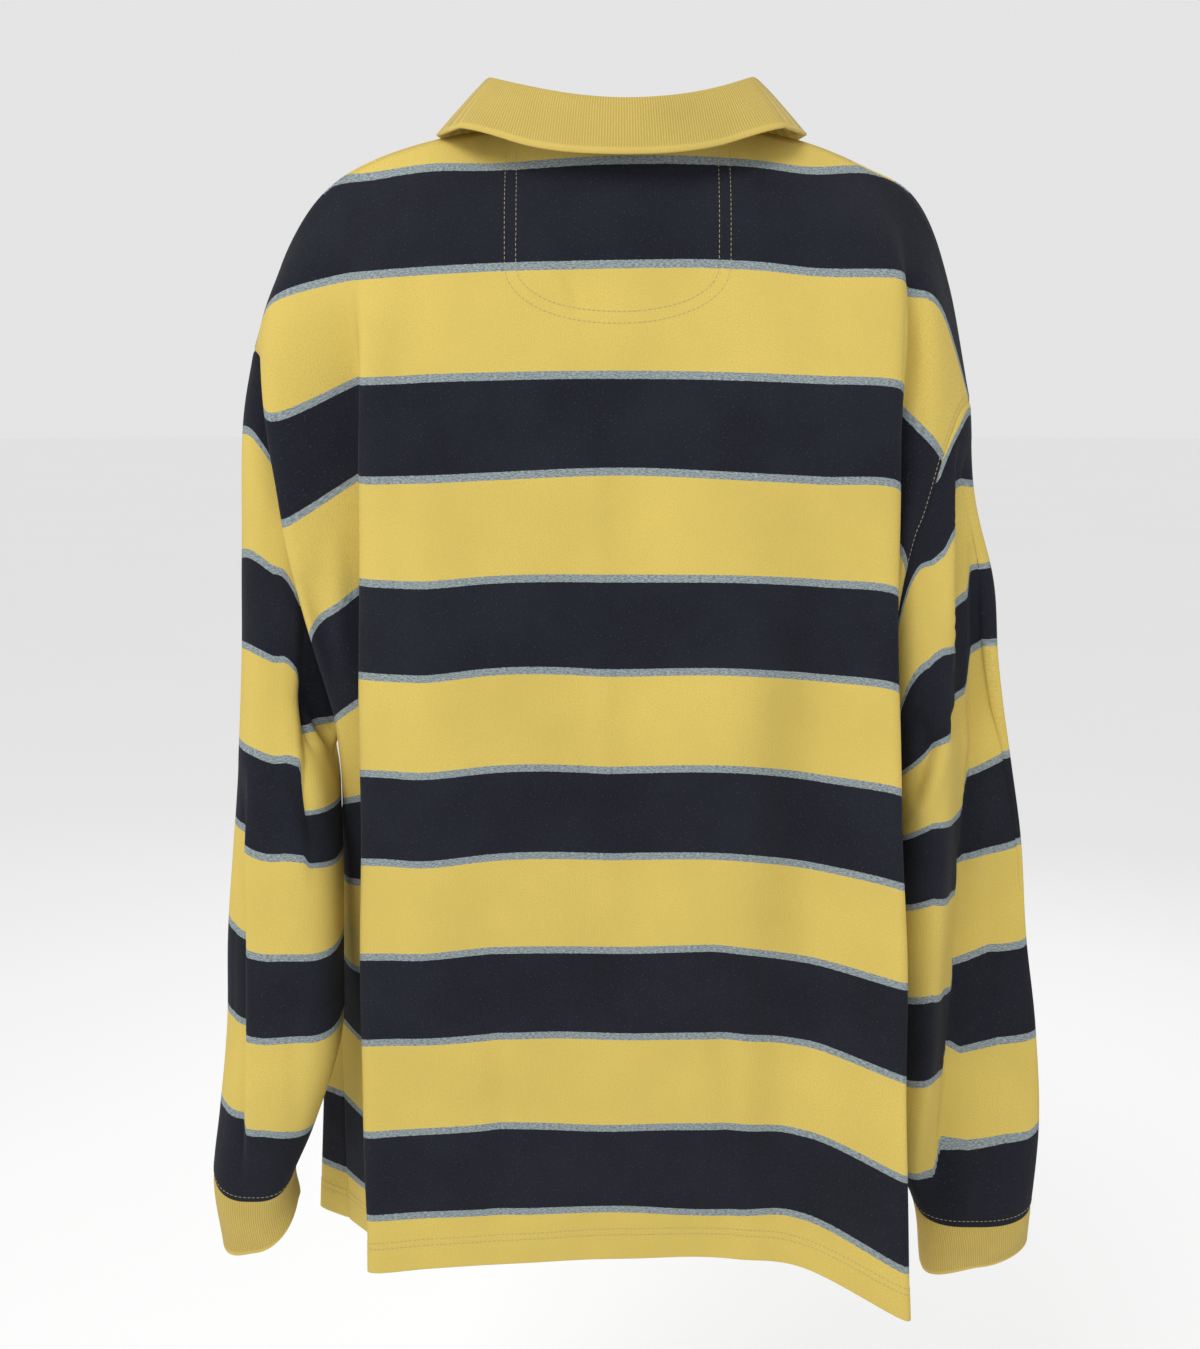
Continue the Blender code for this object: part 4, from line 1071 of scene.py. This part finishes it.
def rimmed(cloth, thickness):
    """A closed shell round the cloth's middle surface: two layers, and a rounded rim at each open edge."""
    points, faces, normals = cloth.points, cloth.faces, cloth.normals
    starts, ends = faces.reshape(-1), np.roll(faces, -1, axis=1).reshape(-1)
    corner = np.arange(len(starts))
    keys = np.minimum(starts, ends) * len(points) + np.maximum(starts, ends)
    _, index, uses = np.unique(keys, return_inverse=True, return_counts=True)
    corner = corner[uses[index.reshape(-1)] == 1]
    first, second = starts[corner], ends[corner]
    after = (corner // 4) * 4 + (corner + 1) % 4
    middles = points[faces].mean(axis=1)[corner // 4]
    outward, tangent = np.zeros_like(points), np.zeros_like(points)
    for end in (first, second):
        np.add.at(outward, end, points[end] - middles)
        np.add.at(tangent, end, points[second] - points[first])
    tangent = unit(tangent)
    for way in (tangent, normals, tangent):
        outward -= (outward * way).sum(axis=1, keepdims=True) * way
    rim = np.unique(np.concatenate([first, second]))
    rim_number = np.full(len(points), -1)
    rim_number[rim] = 2 * len(points) + np.arange(len(rim))
    half, bulge = normals * thickness / 2, unit(outward[rim]) * thickness * RIM_BULGE
    shell = np.vstack([points + half, points - half, points[rim] + bulge])
    count = len(points)
    quads = np.vstack(
        [
            faces,
            faces[:, ::-1] + count,
            np.column_stack([second, first, rim_number[first], rim_number[second]]),
            np.column_stack([rim_number[second], rim_number[first], first + count, second + count]),
        ]
    )
    knit = cloth.on_knit.reshape(-1, 2)
    edge = np.stack([knit[after], knit[corner], knit[corner], knit[after]], axis=1)
    maps = np.concatenate([cloth.on_knit, cloth.on_knit[:, ::-1], edge, edge])
    used = np.zeros(len(shell), bool)
    used[quads.reshape(-1)] = True
    number = np.cumsum(used) - 1
    return shell[used], number[quads], maps


def placed(name, data):
    """A new object in the scene."""
    made = bpy.data.objects.new(name, data)
    bpy.context.scene.collection.objects.link(made)
    return made


def finished_mesh(made, name):
    """The object's mesh after its modifiers."""
    bpy.context.view_layer.update()
    graph = bpy.context.evaluated_depsgraph_get()
    mesh = bpy.data.meshes.new_from_object(made.evaluated_get(graph), depsgraph=graph)
    mesh.name = name
    return mesh


def knit_pieces(context, *names):
    """The shown pieces of these cloths, with their maps of the flat knit, standing for their CAD nodes."""
    sizes = context.scene.pullover_sizes
    for name in names:
        finish, node, flat, area = KNITTED[name]
        points, quads, maps = rimmed(garment()[name], sizes.cloth)
        mesh = bpy.data.meshes.new(name)
        mesh.from_pydata(points.tolist(), [], quads.tolist())
        mesh.uv_layers.new(name=KNIT_MAP).data.foreach_set("uv", maps.reshape(-1).astype(np.float32))
        mesh.shade_smooth()
        mesh.materials.append(finish_of(finish, sizes))
        piece = placed(name, mesh)
        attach(piece, "root")
        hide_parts(node)


def stitch_tree():
    """Geometry nodes that lay stitches end to end along every row of a curve."""
    tree = bpy.data.node_groups.new("stitches_in_rows", "GeometryNodeTree")
    for name, kind in STITCH_INPUTS:
        tree.interface.new_socket(name, in_out="INPUT", socket_type=f"NodeSocket{kind}")
    tree.interface.new_socket("Stitches", in_out="OUTPUT", socket_type="NodeSocketGeometry")
    given = add(tree, "NodeGroupInput").outputs
    along = {"Curve": given["Rows"], "Length": given["Pitch"]}
    spaced = add(tree, "GeometryNodeCurveToPoints", along, mode="LENGTH").outputs
    turned = add(tree, "FunctionNodeAlignRotationToVector", {"Vector": spaced["Tangent"]}, axis="Z")
    stitch = add(tree, "GeometryNodeMeshUVSphere", {"Segments": 6, "Rings": 4, "Radius": 0.5})
    width = given["Thread Width"]
    size = add(tree, "ShaderNodeCombineXYZ", {"X": width, "Y": width, "Z": given["Stitch Length"]})
    instances = {
        "Points": spaced["Points"],
        "Instance": stitch.outputs["Mesh"],
        "Rotation": turned.outputs["Rotation"],
        "Scale": size.outputs["Vector"],
    }
    made = add(tree, "GeometryNodeInstanceOnPoints", instances).outputs["Instances"]
    for kind in ("GeometryNodeRealizeInstances", "GeometryNodeSetShadeSmooth", "GeometryNodeSetMaterial"):
        made = add(tree, kind, {"Geometry": made}).outputs["Geometry"]
    feed(tree, made.node, {"Material": given["Thread"]})
    add(tree, "NodeGroupOutput", {"Stitches": made})
    return tree


def stitch_piece(name, rows, sizes):
    """One mesh of stitches along the given rows of points."""
    curve = bpy.data.curves.new(name + "_rows", "CURVE")
    curve.dimensions = "3D"
    for row in rows:
        spline = curve.splines.new("POLY")
        spline.points.add(len(row) - 1)
        places = np.column_stack([row, np.ones(len(row))])
        spline.points.foreach_set("co", places.astype(np.float32).reshape(-1))
    guide = placed(name + "_rows", curve)
    modifier = guide.modifiers.new("Stitches", "NODES")
    modifier.node_group = bpy.data.node_groups.get("stitches_in_rows") or stitch_tree()
    values = {
        "Pitch": sizes.stitch_pitch,
        "Stitch Length": sizes.stitch_length,
        "Thread Width": sizes.thread_width,
        "Thread": finish_of("thread", sizes),
    }
    for item in modifier.node_group.interface.items_tree:
        if item.name in values:
            modifier[item.identifier] = values[item.name]
    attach(placed(name, finished_mesh(guide, name)), "root")
    bpy.data.objects.remove(guide, do_unlink=True)


def on_surface(cloth, rows, columns):
    """Points just over the cloth's outer face, at these fractional rows and columns of its grid."""
    shape = cloth.grid.shape[:2]
    normals = cloth.normals.reshape(*shape, 3)
    rows, columns = np.broadcast_arrays(np.asarray(rows, float), np.asarray(columns, float))
    row = np.clip(np.floor(rows).astype(int), 0, shape[0] - 2)
    column = np.floor(columns).astype(int)
    part, aside = (rows - row)[:, None], (columns - column)[:, None]
    beside = (column + 1) % shape[1]
    found = []
    for field in (cloth.grid, normals):
        above = field[row, column] * (1 - aside) + field[row, beside] * aside
        below = field[row + 1, column] * (1 - aside) + field[row + 1, beside] * aside
        found.append(above * (1 - part) + below * part)
    return found[0] + unit(found[1]) * (CLOTH / 2 + STITCH_LIFT)


def hem_rows(cloth):
    """The hem's rows of stitching, each from side seam to side seam."""
    down = cloth.down.reshape(cloth.grid.shape[:2])
    columns, rows = np.arange(1, down.shape[1] - 1), np.arange(len(down))
    return [
        on_surface(cloth, [np.interp(LENGTH - place, down[:, column], rows) for column in columns], columns)
        for place in HEM_ROWS_AT
    ]


def cuff_row(cloth):
    """A row of stitching round a sleeve beside its cuff."""
    seam = cloth.from_seam.reshape(cloth.grid.shape[:2])[:, 0]
    half = len(seam) // 2
    row = half + np.interp(-CUFF_ROW_AT, -seam[half:], np.arange(len(seam) - half))
    count = cloth.grid.shape[1]
    return on_surface(cloth, row, np.arange(count + 1) % count)


def armhole_row(cloth, left):
    """A row of stitching down a panel beside its armhole."""
    count = ARMHOLE_ROWS * ARMHOLE_SPLITS
    grid = cloth.grid if left else cloth.grid[:, ::-1]
    in_from = [
        np.interp(ARMHOLE_ROW_AT, travelled(row), np.arange(ARMHOLE_ROW_COLUMNS))
        for row in grid[: count + 1, :ARMHOLE_ROW_COLUMNS]
    ]
    last = cloth.grid.shape[1] - 1
    columns = np.array(in_from) if left else last - np.array(in_from)
    return on_surface(cloth, np.arange(count + 1), np.minimum(columns, last - COLUMN_CLEAR))


def dropped_on(cloth, path, facing):
    """The path of (x, z) laid on the cloth, from the side that it faces."""
    tree = BVHTree.FromPolygons(cloth.points.tolist(), cloth.faces.tolist())
    found = []
    for x, z in path:
        place, normal, _, _ = tree.ray_cast(Vector((x, facing, z)), Vector((0, -facing, 0)))
        if place is None:
            continue
        if normal.y * facing < 0:
            normal = -normal
        found.append(place + normal * (CLOTH / 2 + STITCH_LIFT))
    return np.array(found)


def turned_button(name, middle, sizes):
    """A four-hole button turned from its profile, facing +Y."""
    profile = bpy.data.meshes.new(name + "_profile")
    places = [(radius, 0, height) for radius, height in metres(BUTTON_PROFILE)]
    profile.from_pydata(places, [(index, index + 1) for index in range(len(places) - 1)], [])
    turned = placed(name + "_profile", profile)
    screw = turned.modifiers.new("Turned", "SCREW")
    screw.axis = "Z"
    screw.steps = screw.render_steps = BUTTON_SIDES
    screw.use_merge_vertices = True
    screw.merge_threshold = 0.00001
    holes = bpy.data.meshes.new(name + "_holes")
    drill = bmesh.new()
    for x, y in ((1, 1), (1, -1), (-1, 1), (-1, -1)):
        made = bmesh.ops.create_cone(
            drill,
            cap_ends=True,
            segments=BUTTON_HOLE_SIDES,
            radius1=BUTTON_HOLE,
            radius2=BUTTON_HOLE,
            depth=DRILL_LENGTH,
        )
        bmesh.ops.translate(drill, verts=made["verts"], vec=Vector((x, y, 0)) * BUTTON_HOLE_APART)
    drill.to_mesh(holes)
    drill.free()
    cutter = placed(name + "_holes", holes)
    turned.modifiers.new("Holes", "BOOLEAN").object = cutter
    mesh = finished_mesh(turned, name)
    for item in (turned, cutter):
        bpy.data.objects.remove(item, do_unlink=True)
    mesh.transform(Matrix.Translation(middle) @ Matrix.Rotation(-math.pi / 2, 4, "X"))
    mesh.shade_smooth()
    mesh.set_sharp_from_angle(angle=math.radians(BUTTON_SHARP_ANGLE))
    mesh.materials.clear()
    mesh.materials.append(finish_of("button_plastic", sizes))
    piece = placed(name, mesh)
    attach(piece, "root")
    return piece


def placket_rows(band):
    """Stitching along both edges of the upper band, and twice across its foot."""
    last_row, last_column = band.grid.shape[0] - 1, band.grid.shape[1] - 1
    inset = last_column * BAND_ROW_INSET / (2 * PLACKET_HALF_WIDTH)
    rows = np.arange(1, last_row)
    sides = [on_surface(band, rows, column) for column in (inset, last_column - inset)]
    across = np.linspace(inset, last_column - inset, BAND_FOOT_POINTS)
    feet = [on_surface(band, last_row - above, across) for above in BAND_FOOT_ROWS]
    return sides + feet


def length_setting(name, description, default):
    return bpy.props.FloatProperty(
        name=name, description=description, default=default, unit="LENGTH", precision=5
    )


def colour_setting(name, description, default):
    return bpy.props.FloatVectorProperty(
        name=name, description=description, default=default, subtype="COLOR", size=3, min=0.0, max=1.0
    )


class PulloverSizes(bpy.types.PropertyGroup):
    """Sizes and colours of the pullover that its pieces are made to."""

    cloth: length_setting("Cloth", "Thickness of the knitted walls", CLOTH)
    stripe_repeat: length_setting("Stripe Repeat", "From one navy stripe to the next", 0.14)
    first_stripe: length_setting("First Stripe", "How far down the cloth the first grey line starts", 0.025)
    navy_stripe: length_setting("Navy Stripe", "Depth of a navy stripe", 0.0621)
    grey_line: length_setting("Grey Line", "Depth of the grey line at each change of colour", 0.0055)
    wale: length_setting("Wale", "Width of a column of jersey stitches", 0.0011)
    course: length_setting("Course", "Height of a row of jersey stitches", 0.0009)
    rib_pitch: length_setting("Rib Pitch", "From one cord of the rib to the next, at the seam", 0.0017)
    smooth_edge: length_setting("Smooth Edge", "Depth of the plain edge that finishes the rib", 0.004)
    twill_pitch: length_setting("Twill Pitch", "Between the slanting lines of the placket's cloth", 0.0011)
    stitch_pitch: length_setting("Stitch Pitch", "From one stitch of a row to the next", 0.0034)
    stitch_length: length_setting("Stitch Length", "Length of one stitch", 0.0026)
    thread_width: length_setting("Thread Width", "Width of the sewing thread", 0.00045)
    yellow: colour_setting("Yellow", "The yellow stripes and the placket", (0.66, 0.50, 0.122))
    navy: colour_setting("Navy", "The navy stripes", (0.0135, 0.0148, 0.0215))
    grey: colour_setting("Grey", "The heather grey lines", (0.235, 0.275, 0.285))
    rib_yellow: colour_setting("Rib Yellow", "The collar and the cuffs", (0.61, 0.455, 0.120))
    thread: colour_setting("Thread", "The stitching", (0.42, 0.36, 0.23))
    button: colour_setting("Button", "The placket's buttons", (0.80, 0.76, 0.66))


class PULLOVER_OT_body(bpy.types.Operator):
    """Knit the striped back and front panels"""

    bl_idname = "pullover.body"
    bl_label = "Body Panels"

    def execute(self, context):
        knit_pieces(context, "back_knit", "front_knit")
        return {"FINISHED"}


class PULLOVER_OT_sleeves(bpy.types.Operator):
    """Knit the two striped sleeves"""

    bl_idname = "pullover.sleeves"
    bl_label = "Sleeves"

    def execute(self, context):
        knit_pieces(context, "sleeve_left_knit", "sleeve_right_knit")
        return {"FINISHED"}


class PULLOVER_OT_ribs(bpy.types.Operator):
    """Knit the rib collar and the rib cuffs"""

    bl_idname = "pullover.ribs"
    bl_label = "Collar and Cuffs"

    def execute(self, context):
        knit_pieces(context, "collar_rib", "cuff_left_rib", "cuff_right_rib")
        return {"FINISHED"}


class PULLOVER_OT_placket(bpy.types.Operator):
    """Sew on the two bands of the front placket and its buttons"""

    bl_idname = "pullover.placket"
    bl_label = "Placket and Buttons"

    def execute(self, context):
        knit_pieces(context, "placket_upper_cloth", "placket_under_cloth")
        for node in ("button_1", "button_2"):
            low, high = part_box(node)
            middle = Vector(((low.x + high.x) / 2, low.y, (low.z + high.z) / 2))
            piece = turned_button(f"{node}_turned", middle, context.scene.pullover_sizes)
            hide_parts(node)
        return {"FINISHED"}


class PULLOVER_OT_topstitching(bpy.types.Operator):
    """Sew the visible rows of stitching: hems, half-moon patch, armholes, cuffs and placket"""

    bl_idname = "pullover.topstitching"
    bl_label = "Topstitching"

    def execute(self, context):
        sizes = context.scene.pullover_sizes
        pieces = garment()
        rows = hem_rows(pieces["back_knit"]) + hem_rows(pieces["front_knit"])
        rows += [dropped_on(pieces["back_knit"], patch_row(inset), -1) for inset in (0, PATCH_ROW_GAP)]
        for panel_name in ("back_knit", "front_knit"):
            rows += [armhole_row(pieces[panel_name], left) for left in (True, False)]
        stitch_piece("body_topstitching", rows, sizes)
        for side in SIDES:
            stitch_piece(f"sleeve_{side}_topstitching", [cuff_row(pieces[f"sleeve_{side}_knit"])], sizes)
        stitch_piece("placket_topstitching", placket_rows(pieces["placket_upper_cloth"]), sizes)
        return {"FINISHED"}


class PULLOVER_OT_studio(bpy.types.Operator):
    """Set the pale floor, the soft lights and the camera"""

    bl_idname = "pullover.studio"
    bl_label = "Studio"

    def execute(self, context):
        scene = context.scene
        floor_mesh = bpy.data.meshes.new("studio_floor")
        shape = bmesh.new()
        bmesh.ops.create_circle(shape, cap_ends=True, segments=96, radius=FLOOR_RADIUS)
        shape.to_mesh(floor_mesh)
        shape.free()
        floor_mesh.transform(Matrix.Translation((0, 0, FLOOR_HEIGHT)))
        made, tree, surface = material("pale_floor", 0.9)
        cloud = noise(tree, add(tree, "ShaderNodeTexCoord").outputs["Object"], 0.8, 2.0)
        shades = [(shade, shade, shade, 1) for shade in FLOOR_SHADES]
        feed(tree, surface, {"Base Color": mixed(tree, cloud, *shades)})
        floor_mesh.materials.append(made)
        placed("studio_floor", floor_mesh)
        world = bpy.data.worlds.new("studio_air")
        world.use_nodes = True
        air = {"Color": (1.0, 1.0, 1.0, 1), "Strength": AIR_LIGHT}
        feed(world.node_tree, world.node_tree.nodes["Background"], air)
        scene.world = world
        for name, place, size, watts in LIGHTS:
            lamp = bpy.data.lights.new(name, "AREA")
            lamp.energy, lamp.size = watts, size
            lamp_object = placed(name, lamp)
            lamp_object.location = place
            aim = Vector(LIT_POINT) - Vector(place)
            lamp_object.rotation_euler = aim.to_track_quat("-Z", "Y").to_euler()
        scene.view_settings.view_transform = "Standard"
        lens = bpy.data.cameras.new("studio_camera")
        lens.lens, lens.sensor_width = CAMERA_LENS, SENSOR_WIDTH
        scene.camera = placed("studio_camera", lens)
        scene.camera.location = CAMERA_PLACE
        scene.camera.rotation_euler = (math.radians(CAMERA_TILT), 0, 0)
        return {"FINISHED"}


class PULLOVER_PT_pieces(bpy.types.Panel):
    """The pullover's pieces, and the sizes and colours that they are made to."""

    bl_label = "Rugby Pullover"
    bl_idname = "PULLOVER_PT_pieces"
    bl_space_type = "VIEW_3D"
    bl_region_type = "UI"
    bl_category = "Pullover"

    def draw(self, context):
        for operator in OPERATORS:
            self.layout.operator(operator.bl_idname)
        for name in PulloverSizes.__annotations__:
            self.layout.prop(context.scene.pullover_sizes, name)


OPERATORS = (
    PULLOVER_OT_body,
    PULLOVER_OT_sleeves,
    PULLOVER_OT_ribs,
    PULLOVER_OT_placket,
    PULLOVER_OT_topstitching,
    PULLOVER_OT_studio,
)
CLASSES = (PulloverSizes, *OPERATORS, PULLOVER_PT_pieces)


def register():
    for cls in CLASSES:
        bpy.utils.register_class(cls)
    bpy.types.Scene.pullover_sizes = bpy.props.PointerProperty(type=PulloverSizes)


def unregister():
    del bpy.types.Scene.pullover_sizes
    for cls in reversed(CLASSES):
        bpy.utils.unregister_class(cls)


def main():
    register()
    bpy.ops.pullover.body()
    bpy.ops.pullover.sleeves()
    bpy.ops.pullover.ribs()
    bpy.ops.pullover.placket()
    bpy.ops.pullover.topstitching()
    bpy.ops.pullover.studio()


if __name__ == "__main__":
    main()
